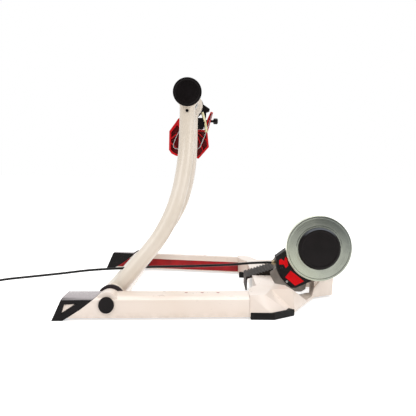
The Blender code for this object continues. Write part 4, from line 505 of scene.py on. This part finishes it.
def turned_metal(
    name, centre, dark, pale, ring_mm, smoothest, roughest, painted_rim_highlight=None, painted_reflection_tones=None
):
    """Lathe-turned metal: rings about an axis along Y, a painted rim highlight and a painted
    reflection.
    """
    made, tree = new_material(name)
    place = add(tree, "ShaderNodeTexCoord").outputs["Object"]
    offset = add(tree, "ShaderNodeVectorMath", {0: place, 1: centre}, operation="SUBTRACT")
    level = add(tree, "ShaderNodeVectorMath", {0: offset, 1: (1, 0, 1)}, operation="MULTIPLY")
    distance = add(tree, "ShaderNodeVectorMath", {0: level}, operation="LENGTH")
    rings = add(
        tree,
        "ShaderNodeTexNoise",
        {"W": distance, "Scale": lumps(ring_mm), "Detail": 4.0},
        noise_dimensions="1D",
    )
    ridges = add(tree, "ShaderNodeMapRange", {"Value": rings, "From Min": 0.3, "From Max": 0.7})
    tint = add(tree, "ShaderNodeMix", {"Factor": ridges, "A": dark, "B": pale}, data_type="RGBA")
    stains = add(tree, "ShaderNodeTexNoise", {"Vector": place, "Scale": lumps(30), "Detail": 4.0})
    clouds = add(tree, "ShaderNodeMapRange", {"Value": stains, "From Min": 0.35, "From Max": 0.7})
    colour = add(tree, "ShaderNodeMix", {"Factor": clouds, "A": tint, "B": pale}, data_type="RGBA")
    # Painted reflection: darker towards the upper right, paler towards the lower left.
    if painted_reflection_tones:
        reflection_axis = {0: offset, 1: PAINTED_REFLECTION_DIRECTION}
        along = add(tree, "ShaderNodeVectorMath", reflection_axis, operation="DOT_PRODUCT")
        for tone, reach in zip(painted_reflection_tones, (PAINTED_REFLECTION_REACH, -PAINTED_REFLECTION_REACH)):
            span = {"Value": along, "From Min": PAINTED_REFLECTION_FROM * reach, "From Max": reach}
            share = add(tree, "ShaderNodeMapRange", {**span, "To Max": PAINTED_REFLECTION_SHARE})
            mix = {"Factor": share, "A": colour, "B": tone}
            colour = add(tree, "ShaderNodeMix", mix, data_type="RGBA")
    # Painted highlight on the outermost rim.
    if painted_rim_highlight:
        outermost = {"Value": distance, "From Min": RIM_START, "From Max": RIM_END}
        rim = add(tree, "ShaderNodeMapRange", outermost)
        colour = add(
            tree,
            "ShaderNodeMix",
            {"Factor": rim, "A": colour, "B": painted_rim_highlight},
            data_type="RGBA",
        )
    gloss = add(
        tree,
        "ShaderNodeMapRange",
        {"Value": rings, "From Min": 0.3, "From Max": 0.7, "To Min": smoothest, "To Max": roughest},
    )
    grooves = add(tree, "ShaderNodeBump", {"Height": rings, "Distance": 0.02 * MM, "Strength": 0.5})
    metal = add(
        tree,
        "ShaderNodeBsdfPrincipled",
        {"Base Color": colour, "Roughness": gloss, "Normal": grooves, "Metallic": 1.0},
    )
    add(tree, "ShaderNodeOutputMaterial", {"Surface": metal})
    return made


ROTOR = Vector((208.5, 0, 107)) * MM
AXLE = Vector((-58.5, 0, 404)) * MM
# The pale rim tone is a painted highlight, and the last two tones are a painted reflection.
flywheel_zinc = turned_metal(
    "turned_zinc_plated_flywheel",
    ROTOR,
    "#787B73",
    "#999D92",
    1.6,
    0.2,
    0.27,
    "#E2E5D4",
    ("#6C716C", "#A3A796"),
)
disc_alloy = turned_metal("turned_aluminium_disc", ROTOR, "#A7A8A8", "#C9CACA", 1.2, 0.3, 0.4)
shaft_steel = turned_metal("turned_steel_shaft", ROTOR, "#8E8E8D", "#B9B9B7", 1.0, 0.25, 0.35)
cup_steel = turned_metal("turned_steel_cups", AXLE, "#9A9A98", "#C2C2C0", 0.9, 0.22, 0.32)
print("materials so far:", len(bpy.data.materials))

# %% [markdown]
# Sheet and small steel parts are coated or plated, so their tone drifts and a fine
# speckle lies over it. Each call below gives two tones, the roughness, how metallic the
# coat is, the speckle's size in millimetres and, for a dull coat, the level of gloss.

# %% Coated steel
SPECK_SHARE = 0.25
ROUGHNESS_SWING = 0.06


def coated_steel(name, dark, pale, roughness, metallic, speck_mm, gloss_level=0.5):
    """Sheet steel with a thin coat: a drift of tone and a fine speckle."""
    made, tree = new_material(name)
    place = add(tree, "ShaderNodeTexCoord").outputs["Object"]
    clouds = add(tree, "ShaderNodeTexNoise", {"Vector": place, "Scale": lumps(35), "Detail": 4.0})
    drift = add(tree, "ShaderNodeMapRange", {"Value": clouds, "From Min": 0.35, "From Max": 0.7})
    even = add(tree, "ShaderNodeMix", {"Factor": drift, "A": dark, "B": pale}, data_type="RGBA")
    grit = add(
        tree,
        "ShaderNodeTexNoise",
        {"Vector": place, "Scale": lumps(speck_mm), "Detail": 3.0},
    )
    speck = add(tree, "ShaderNodeMapRange", {"Value": grit, "From Min": 0.35, "From Max": 0.65})
    shade = add(tree, "ShaderNodeMath", {0: speck, 1: SPECK_SHARE}, operation="MULTIPLY")
    colour = add(tree, "ShaderNodeMix", {"Factor": shade, "A": even, "B": dark}, data_type="RGBA")
    low, high = roughness - ROUGHNESS_SWING, roughness + ROUGHNESS_SWING
    gloss = add(tree, "ShaderNodeMapRange", {"Value": speck, "To Min": low, "To Max": high})
    bumps = add(tree, "ShaderNodeTexNoise", {"Vector": place, "Scale": lumps(speck_mm)})
    skin = add(tree, "ShaderNodeBump", {"Height": bumps, "Distance": 0.03 * MM, "Strength": 0.5})
    coat = add(
        tree,
        "ShaderNodeBsdfPrincipled",
        {
            "Base Color": colour,
            "Roughness": gloss,
            "Normal": skin,
            "Metallic": metallic,
            "Specular IOR Level": gloss_level,
        },
    )
    add(tree, "ShaderNodeOutputMaterial", {"Surface": coat})
    return made


black_oxide = coated_steel("black_oxide_steel_pin", "#161413", "#242120", 0.4, 0.3, 1.5)
bolt_steel = coated_steel("bright_zinc_bolts", "#A5A6A5", "#C9CAC9", 0.3, 1.0, 2.0)
magnet_nickel = coated_steel("nickel_plated_magnets", "#A8A59F", "#C6C3BC", 0.22, 1.0, 3.0)
grey_coat = coated_steel("grey_coated_sheet_steel", "#A19A93", "#C2BCB5", 0.45, 0.1, 2.2)
plate_coat = coated_steel("dark_ribbed_plate_coat", "#241D1A", "#3C332F", 0.6, 0.0, 1.6, 0.2)
yellow_zinc = coated_steel("yellow_passivated_zinc", "#C2BA8E", "#EFE9C8", 0.34, 0.9, 6.0)
barrel_brass = coated_steel("turned_brass_barrel", "#8A7A62", "#B3A284", 0.34, 1.0, 1.5)
print("materials so far:", len(bpy.data.materials))

# %% [markdown]
# ## The cable
# A thin cable in a black PVC jacket runs from the brass adjuster to a remote on the
# handlebar. It leaves the adjuster level, sags to the cross tube, rests on it, and
# comes down to the floor past the front feet. The photograph shows no more of it than
# that, so the rest is put away in a neat coil with the remote at its end. Its route is
# a smooth line through a few known places, and the coil comes from a formula.

# %% Cable route
CABLE_RADIUS = 2.5 * MM
COIL_CENTRE = Vector((-470, -130, 0)) * MM
COIL_OUTER = 34.5 * MM
COIL_PITCH = 5.7 * MM
COIL_TURNS = 3
TURN_POINTS = 24
COIL_CLIMB_INSET = 0.9 * MM
INSET_RATE = 8
LAYER_RISE = 2 * CABLE_RADIUS + 0.7 * MM
TAIL_LENGTH = 35 * MM
TAIL_STEPS = 6
CABLE_FLOOR = CABLE_RADIUS + 0.1 * MM
KNOT_STEPS = 24
ROUTE_POINTS = 78


def smooth_line(knots, count):
    """Points spread evenly along a smooth curve through the knots."""
    fine = []
    padded = [2 * knots[0] - knots[1], *knots, 2 * knots[-1] - knots[-2]]
    for a, b, c, d in zip(padded, padded[1:], padded[2:], padded[3:]):
        for i in range(KNOT_STEPS):
            t = i / KNOT_STEPS
            bend = 2 * a - 5 * b + 4 * c - d
            twist = 3 * b - a - 3 * c + d
            fine.append(0.5 * (2 * b + (c - a) * t + bend * t**2 + twist * t**3))
    fine.append(knots[-1])
    lengths = [0.0]
    for a, b in zip(fine, fine[1:]):
        lengths.append(lengths[-1] + (b - a).length)
    result = []
    place = 0
    for i in range(count):
        wanted = lengths[-1] * i / (count - 1)
        while place < len(fine) - 2 and lengths[place + 1] < wanted:
            place += 1
        share = (wanted - lengths[place]) / (lengths[place + 1] - lengths[place])
        result.append(fine[place].lerp(fine[place + 1], min(max(share, 0), 1)))
    return result


ROUTE_KNOTS = [
    (117.7, -55, 71.7),
    (110, -55, 71.7),
    (70, -55, 69),
    (33, -55, 65),
    (-50, -55, 60),
    (-132, -55, 56.5),
    (-182, -55, 52.8),
    (-252, -55, 47),
    (-315, -55, 38.3),
    (-379, -55, 30),
    (-430, -55, 23.2),
    (-462, -59, 16.5),
    (-486, -73, 9.5),
    (-500, -93, 4.6),
    (-504.5, -112.7, 2.6),
    (-504.5, -119.7, 2.6),
    (-504.5, -124.7, 2.6),
]


def coil_radius(turns):
    """Distance from the coil's middle: inwards, a half turn's climb, outwards on top."""
    if turns < COIL_TURNS:
        return COIL_OUTER - COIL_PITCH * turns
    core = COIL_OUTER - COIL_PITCH * COIL_TURNS
    if turns < COIL_TURNS + 0.5:
        return core - COIL_CLIMB_INSET * min((turns - COIL_TURNS) * INSET_RATE, 1)
    out = turns - COIL_TURNS - 0.5
    return core - COIL_CLIMB_INSET * max(1 - out * 2, 0) + COIL_PITCH * out


def coil_line():
    """Two layers of turns on the floor, then a straight end towards the remote."""
    points = []
    for i in range(2 * COIL_TURNS * TURN_POINTS + 1):
        turns = i / TURN_POINTS
        share = min(max((turns - COIL_TURNS) * 2, 0), 1)
        height = CABLE_FLOOR + LAYER_RISE * share * share * (3 - 2 * share)
        angle = pi + 2 * pi * turns
        radius = coil_radius(turns)
        points.append(COIL_CENTRE + Vector((radius * cos(angle), radius * sin(angle), height)))
    step = Vector((0, -TAIL_LENGTH / TAIL_STEPS, 0))
    return points + [points[-1] + step * i for i in range(1, TAIL_STEPS + 1)]


cable_line = smooth_line([Vector(k) * MM for k in ROUTE_KNOTS], ROUTE_POINTS) + coil_line()

# %% Cable curve
cable_curve = bpy.data.curves.new("brake_cable", "CURVE")
cable_curve.dimensions = "3D"
cable_curve.bevel_depth = CABLE_RADIUS
cable_curve.bevel_resolution = 4
cable_curve.use_fill_caps = True
spline = cable_curve.splines.new("POLY")
spline.points.add(len(cable_line) - 1)
for point, place in zip(spline.points, cable_line):
    point.co = (*place, 1)
spline.use_smooth = True
cable_curve.materials.append(cable_jacket)
brake_cable = bpy.data.objects.new("brake_cable", cable_curve)
bpy.context.scene.collection.objects.link(brake_cable)
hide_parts("cable", "cable_coil")
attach(brake_cable, "base")
print("points on the cable:", len(spline.points))

# %% [markdown]
# ## Rounded edges
# No pressed or moulded part has a knife edge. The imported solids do, so most flat pieces
# are remade here: a copy of the solid's mesh is merged, its flat faces are joined, and
# a bevel rounds every real corner. A radius of 0.2 to 1.5 mm is what such parts have,
# and it is what catches the light along an edge. Modelling each shape again would
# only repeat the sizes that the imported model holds.

# %% Helpers for pieces
MERGE_DISTANCE = 0.002 * MM
FLAT_WITHIN = radians(0.8)
finished = []


def keep(name, shape, finish, stands_for, body, sharp=32):
    """Make an object of a finished mesh; it stands for its node and rides on a body."""
    mesh = bpy.data.meshes.new(name)
    shape.to_mesh(mesh)
    shape.free()
    mesh.materials.append(finish)
    mesh.shade_smooth()
    mesh.set_sharp_from_angle(angle=radians(sharp))
    piece = bpy.data.objects.new(name, mesh)
    bpy.context.scene.collection.objects.link(piece)
    if stands_for:
        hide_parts(stands_for)
    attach(piece, body)
    finished.append(piece)
    return piece


def copied(node):
    """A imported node's mesh, merged and with its flat faces joined."""
    shape = bmesh.new()
    shape.from_mesh(nodes[node].data)
    bmesh.ops.remove_doubles(shape, verts=shape.verts, dist=MERGE_DISTANCE)
    bmesh.ops.dissolve_limit(
        shape,
        angle_limit=FLAT_WITHIN,
        verts=shape.verts,
        edges=shape.edges,
        use_dissolve_boundaries=False,
        delimit=set(),
    )
    return shape


def soften(piece, radius_mm, segments=3, corner=28, flat=True):
    """Round a piece's sharp corners with a bevel modifier; flat faces stay flat."""
    bevel = piece.modifiers.new("edge_radius", "BEVEL")
    bevel.width = radius_mm * MM
    bevel.segments = segments
    bevel.limit_method = "ANGLE"
    bevel.angle_limit = radians(corner)
    bevel.use_clamp_overlap = True
    bevel.harden_normals = flat
    return piece


def rounded(node, body, finish, radius_mm, segments=3, corner=28):
    """A copy of a node with its sharp corners rounded to a radius."""
    piece = keep(node + "_skin", copied(node), finish, node, body)
    return soften(piece, radius_mm, segments, corner)


print("vertices nearer than", MERGE_DISTANCE / MM, "mm are merged")

# %% [markdown]
# ## Pressed frame
# The two legs are channels pressed from 2.5 mm sheet, and the rear deck is one deep
# pressing that joins them. Their bends have radii of a millimetre or more, which give
# the bright lines along their shoulders in the photograph. The deck's panels meet at
# wide angles, so its shading is smoothed across all bends of less than 50 degrees.

# %% Legs and deck
DECK_SHARP_FROM = 50
for word in ("left", "right"):
    rounded(word + "_leg", "base", cream_paint, 1.1)
deck_shape = copied("rear_deck")
deck_skin = keep("rear_deck_skin", deck_shape, cream_paint, "rear_deck", "base", DECK_SHARP_FROM)
soften(deck_skin, 1.2, flat=False)
print("painted pressings:", len(finished))

# %% [markdown]
# ## Feet, pads, liners and caps
# The front feet are hollow black mouldings with a triangular window, the rear feet and
# the pads are rubber, and a red liner closes the open side of each leg.

# %% Base trim
for word in ("left", "right"):
    rounded(word + "_front_foot", "base", foot_abs, 1.4, 4)
    rounded(word + "_rear_foot", "base", rubber_foot, 1.5, 4)
    rounded(word + "_pad", "base", rubber_foot, 1.0)
    rounded(word + "_liner", "base", red_liner, 0.35, 2)
    rounded(word + "_hinge_cap", "base", black_abs, 0.9, 4)
print("pieces so far:", len(finished))

# %% [markdown]
# The window of a front foot is a pocket in its outer side, and the cream end of the leg
# shows at its floor. It could be a colour in the foot's material, but a thin inlay of
# its own gives the crisp line between plastic and paint. It starts from three points,
# is drawn out to its thickness, and leans with the leg's splay as the pocket does.

# %% Window inlays
LEG_SPLAY = tan(radians(7.2))
FOOT_CORNER_X = 272.5 * MM
FOOT_CORNER_Y = 294 * MM
FOOT_FACE_Y = FOOT_CORNER_Y - FOOT_CORNER_X * LEG_SPLAY
POCKET_DEPTH = 6 * MM
POCKET_CLEARANCE = 0.2 * MM
INLAY_THICKNESS = 4.4 * MM
INLAY_EDGE = 0.3 * MM
INLAY_CORNERS = [(-255.6, 13.6), (-251.9, 27.4), (-234.6, 28.2)]


def window_inlay(side, word):
    """The cream triangle at the floor of a front foot's window."""
    shape = bmesh.new()
    floor_y = side * (FOOT_FACE_Y - POCKET_DEPTH - POCKET_CLEARANCE)
    corners = [shape.verts.new((x * MM, floor_y, z * MM)) for x, z in INLAY_CORNERS]
    face = shape.faces.new(corners)
    drawn = bmesh.ops.extrude_face_region(shape, geom=[face])["geom"]
    moved = [v for v in drawn if isinstance(v, bmesh.types.BMVert)]
    bmesh.ops.translate(shape, vec=(0, side * INLAY_THICKNESS, 0), verts=moved)
    for vertex in shape.verts:
        vertex.co.y -= side * vertex.co.x * LEG_SPLAY
    bmesh.ops.bevel(
        shape,
        geom=list(shape.edges),
        offset=INLAY_EDGE,
        affect="EDGES",
        segments=2,
        profile=0.5,
        material=-1,
    )
    bmesh.ops.recalc_face_normals(shape, faces=shape.faces)
    keep(word + "_window_inlay", shape, cream_paint, None, "base")


for side, word in SIDES:
    window_inlay(side, word)
print("inlays on the feet:", sum(p.name.endswith("_inlay") for p in finished))

# %% [markdown]
# ## Turned parts
# The flywheel, caps, cups, bearings and shaft are round about one axis. A cylinder with
# bevels would do for the plainest, but a lathe's way serves them all: half a section is
# drawn as a line of points, and spinning it once round the axis gives the body. A ring
# has a closed section that stays clear of the axis.

# %% Helper for turned parts
TURN_STEPS = 96
TURN_CORNER = 12


def spun(section, centre, along):
    """A body of revolution from points (radius, place along the axis) in millimetres."""
    shape = bmesh.new()
    out = Vector((1, 0, 0)) if along == "Y" else Vector((0, 1, 0))
    axis = Vector((0, 1, 0)) if along == "Y" else Vector((1, 0, 0))
    flat = centre - axis * centre.dot(axis)
    points = [shape.verts.new(flat + out * r * MM + axis * a * MM) for r, a in section]
    lines = [shape.edges.new(pair) for pair in zip(points, points[1:])]
    if section[0][0] > 0:
        lines.append(shape.edges.new((points[-1], points[0])))
    bmesh.ops.spin(
        shape,
        geom=points + lines,
        cent=flat,
        axis=axis,
        angle=2 * pi,
        steps=TURN_STEPS,
        use_merge=True,
    )
    bmesh.ops.remove_doubles(shape, verts=shape.verts, dist=MERGE_DISTANCE)
    bmesh.ops.recalc_face_normals(shape, faces=shape.faces)
    return shape


def turned(node, body, finish, section, centre, radius_mm, along="Y"):
    """A turned part with rounded corners, which stands for its node."""
    shape = spun(section, centre, along)
    piece = keep(node + "_turned", shape, finish, node, body, TURN_CORNER)
    return soften(piece, radius_mm)


print("steps round a turned part:", TURN_STEPS)

# %% [markdown]
# ## Flywheel and roller
# The flywheel is a steel disc, zinc plated and passivated, so it has a faint green and
# straw tint. Its rim carries a painted highlight. Its face carries a painted reflection,
# darker towards the upper right and paler towards the lower left. A black cap covers the
# hub and the shaft's end. The roller is an aluminium drum with a dark polyurethane sleeve
# that saves the tyre. On the right side a nut ends the shaft.

# %% Flywheel and hub cap
FLYWHEEL_SECTION = [
    (5.35, -92),
    (45, -92),
    (46, -91.6),
    (60.5, -91.6),
    (61.5, -92),
    (65.5, -92),
    (65.5, -76),
    (5.35, -76),
]
CAP_SECTION = [
    (0, -92.3),
    (42, -92.3),
    (42, -96.3),
    (38.6, -100),
    (36, -100.3),
    (34.5, -99.7),
    (0, -99.7),
]
turned("flywheel", "rotor", flywheel_zinc, FLYWHEEL_SECTION, ROTOR, 1.5)
turned("hub_cap", "rotor", hub_abs, CAP_SECTION, ROTOR, 0.5)
print("pieces so far:", len(finished))

# %% Disc, shaft and roller
DISC_SECTION = [
    (5.35, -62),
    (20, -62),
    (22, -61.2),
    (36, -61.2),
    (38, -62),
    (60, -62),
    (60, -58),
    (5.35, -58),
]
SHAFT_SECTION = [
    (0, -91.5),
    (5, -91.5),
    (5, -30),
    (17, -30),
    (17, 30),
    (5, 30),
    (5, 59.8),
    (0, 59.8),
]
SLEEVE_SECTION = [(17.3, -29), (19, -29), (20, -27), (20, 27), (19, 29), (17.3, 29)]
turned("brake_disc", "rotor", disc_alloy, DISC_SECTION, ROTOR, 0.4)
turned("roller_shaft", "rotor", shaft_steel, SHAFT_SECTION, ROTOR, 0.5)
turned("roller_sleeve", "rotor", sleeve_rubber, SLEEVE_SECTION, ROTOR, 0.5)
rounded("shaft_nut", "rotor", bolt_steel, 0.6)
print("rotor pieces:", sum(p.name.endswith("_turned") for p in finished))

# %% [markdown]
# A ball bearing shows three things: the outer race, the inner race and a shield set
# back between them. Each gets its own step in the section.

# %% Bearings
BEARING_LOW = 42.6
BEARING_HIGH = 50.6
SHIELD_DEPTH = 0.5


def on_side(section, side):
    """A section on the left side, at -1, or the right side, at 1."""
    return [(r, side * a) for r, a in section]


shield = BEARING_LOW + SHIELD_DEPTH
inner_race = [(5.35, BEARING_LOW), (7.6, BEARING_LOW)]
outer_race = [(10.8, BEARING_LOW), (13, BEARING_LOW)]
half = [*inner_race, (7.6, shield), (10.8, shield), *outer_race]
other_half = [(r, BEARING_HIGH - (a - BEARING_LOW)) for r, a in reversed(half)]
for side, word in SIDES:
    turned(word + "_bearing", "base", shaft_steel, on_side(half + other_half, side), ROTOR, 0.15)
print("bearings:", sum(p.name.endswith("_bearing_turned") for p in finished))

# %% [markdown]
# ## Brake unit
# Grey coated cheeks carry the bearings, a ribbed plate leads the wheel up to the
# roller, and the black housing holds the magnets. The housing's two red plates stay
# bare. These are flat pressed or moulded parts, so their own solids are rounded, as
# the frame's are.

# %% Cradle, housing and carrier
for word in ("left", "right"):
    rounded(word + "_cheek", "base", grey_coat, 0.5, 2)
    rounded(word + "_tie_bolt", "base", bolt_steel, 0.5)
rounded("cradle_plate", "base", plate_coat, 0.4, 2)
rounded("rear_tie", "base", grey_coat, 0.6)
rounded("brake_cover", "base", cover_abs, 0.8)
rounded("cover_screw", "base", bolt_steel, 0.3)
rounded("upper_plate", "base", red_enamel, 0.25, 2)
rounded("lower_plate", "base", red_enamel, 0.25, 2)
rounded("carrier_pin", "base", black_oxide, 0.3)
rounded("magnet_carrier", "carrier", disc_alloy, 0.4)
rounded("front_magnet", "carrier", magnet_nickel, 0.3)
rounded("back_magnet", "carrier", magnet_nickel, 0.3)
rounded("cable_barrel", "base", barrel_brass, 0.3)
print("pieces so far:", len(finished))

# %% [markdown]
# ## Arch
# The arch is bent tube, 30 mm across, welded to a cross tube that turns on the hinge
# bolts. Each weld leaves a rounded bead. The beads could be sculpted, but a small ring
# of a rounded section that lies where two tubes meet gives the same line of light.
# The ring is projected onto the thicker tube, so that it follows the saddle.

# %% Tubes
for word in ("left", "right"):
    rounded(word + "_upright", "arch", arch_paint, 0.5, 2, 40)
    rounded(word + "_clamp_tube", "arch", arch_paint, 0.8)
rounded("cross_tube", "arch", arch_paint, 0.8)
print("pieces so far:", len(finished))

# %% Weld beads
BEAD_RADIUS = 1.9 * MM
BEAD_STEPS = 72
BEAD_STAND = 0.4 * MM
UPRIGHT_RADIUS = 15 * MM
UPRIGHT_FOOT = (-182, 209, 28)
UPRIGHT_NEXT = (-161.6, 205.5, 56.8)
UPRIGHT_HEAD = (-58.5, 117, 404)
CROSS_BEAD_RADIUS = 22.2 * MM
CLAMP_BEAD_RADIUS = 25.2 * MM
HINGE = Vector((-182, 0, 28)) * MM


def weld_bead(name, start, way, carrier_centre, carrier_radius):
    """A closed ring of weld where a tube that runs along way meets a tube along Y."""
    way = way.normalized()
    first = way.cross(Vector((0, 1, 0))).normalized()
    second = way.cross(first)
    reach = UPRIGHT_RADIUS + BEAD_STAND
    centres = []
    for i in range(BEAD_STEPS):
        angle = 2 * pi * i / BEAD_STEPS
        rim = start + (first * cos(angle) + second * sin(angle)) * reach
        offset = rim - carrier_centre
        a = way.x**2 + way.z**2
        b = offset.x * way.x + offset.z * way.z
        c = offset.x**2 + offset.z**2 - carrier_radius**2
        inside = max(b * b - a * c, 0)
        centres.append(rim + way * (-b + inside**0.5) / a)
    curve = bpy.data.curves.new(name, "CURVE")
    curve.dimensions = "3D"
    curve.bevel_depth = BEAD_RADIUS
    curve.bevel_resolution = 3
    line = curve.splines.new("POLY")
    line.points.add(len(centres) - 1)
    for point, centre in zip(line.points, centres):
        point.co = (*centre, 1)
    line.use_cyclic_u = True
    line.use_smooth = True
    curve.materials.append(arch_paint)
    bead = bpy.data.objects.new(name, curve)
    bpy.context.scene.collection.objects.link(bead)
    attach(bead, "arch")


def at_side(place, side):
    """A place in millimetres on the right side, or mirrored to the left, in metres."""
    return Vector((place[0], side * place[1], place[2])) * MM


for side, word in SIDES:
    foot = at_side(UPRIGHT_FOOT, side)
    foot_way = at_side(UPRIGHT_NEXT, side) - foot
    weld_bead(word + "_lower_weld", foot, foot_way, HINGE, CROSS_BEAD_RADIUS)
    head = at_side(UPRIGHT_HEAD, side)
    weld_bead(word + "_upper_weld", head, Vector((0, 0, -1)), AXLE, CLAMP_BEAD_RADIUS)

# %% [markdown]
# ## Axle cups
# The cups grip the axle's ends. Each is a turned cup on a spindle. The left one is
# set by a knurled ring, and the right one is pushed in by the quick lever. The caps at
# the ends of the clamp tubes are black plugs with a shallow dish.

# %% Caps and cups
PLUG_SECTION = [
    (0, 129),
    (21.7, 129),
    (21.7, 141.3),
    (27.2, 141.3),
    (27.2, 144),
    (26.2, 145),
    (23.6, 145),
    (22.6, 144.3),
    (0, 144.3),
]
CUP_SECTION = [
    (0, 80),
    (9.6, 80),
    (11, 79),
    (11, 70),
    (13.6, 70),
    (15, 71.4),
    (15, 84),
    (8, 84),
    (8, 114),
    (0, 114),
]
for side, word in SIDES:
    turned(word + "_end_cap", "arch", black_abs, on_side(PLUG_SECTION, side), AXLE, 0.5)
    body = word + "_cup_body"
    turned(word + "_cup", body, cup_steel, on_side(CUP_SECTION, side), AXLE, 0.4)
rounded("ring_nut", "ring_body", cup_steel, 0.3, 2)
rounded("lock_screw", "arch", black_abs, 0.3)
print("pieces so far:", len(finished))

# %% [markdown]
# ## Quick lever
# A red ribbed paddle with a steel wire turns on a pin in a black bracket. The pin ends
# in a round knob, and a yellow zinc rod braces the bracket. The paddle's ribs and
# fields are in its solid already, so it needs its edge radii and its two-tone plastic.

# %% Lever, bracket and rods
rounded("quick_lever", "lever", red_lever, 0.7)
rounded("lever_bail", "lever", bolt_steel, 0.2, 2, 50)
rounded("lever_bracket", "arch", black_abs, 0.9)
rounded("lever_stay", "arch", yellow_zinc, 0.3, 2, 50)
PIN_CENTRE = Vector((0, 159, 373)) * MM
PIN_SECTION = [
    (0, -93),
    (3, -93),
    (3, -8),
    (5.4, -8),
    (7, -6.4),
    (7, 0.2),
    (6.2, 1.8),
    (4.4, 2.7),
    (0, 3),
]
turned("lever_pin", "arch", black_abs, PIN_SECTION, PIN_CENTRE, 0.4, "X")
print("pieces so far:", len(finished))

# %% [markdown]
# ## Hinges
# A bolt and a friction disc join each leg to the cross tube. The disc is the dark
# crescent over the leg, and the bolt hides under the round cap.

# %% Hinge parts
for word in ("left", "right"):
    rounded(word + "_hinge_disc", "base", disc_nylon, 0.6)
    rounded(word + "_hinge_bolt", "base", bolt_steel, 0.5)
print("pieces so far:", len(finished))

# %% [markdown]
# ## Remote and cord
# The remote clamps on the handlebar and pulls the cable. It lies on the floor at the
# end of the coil.

# %% Remote and cord
remote_body = rounded("shifter_body", "base", black_abs, 1.0)
remote_lever = rounded("shifter_lever", "remote_lever", remote_red, 0.8)
bare = [n for n, o in nodes.items() if not o.hide_render]
print("nodes still shown as they are:", bare)
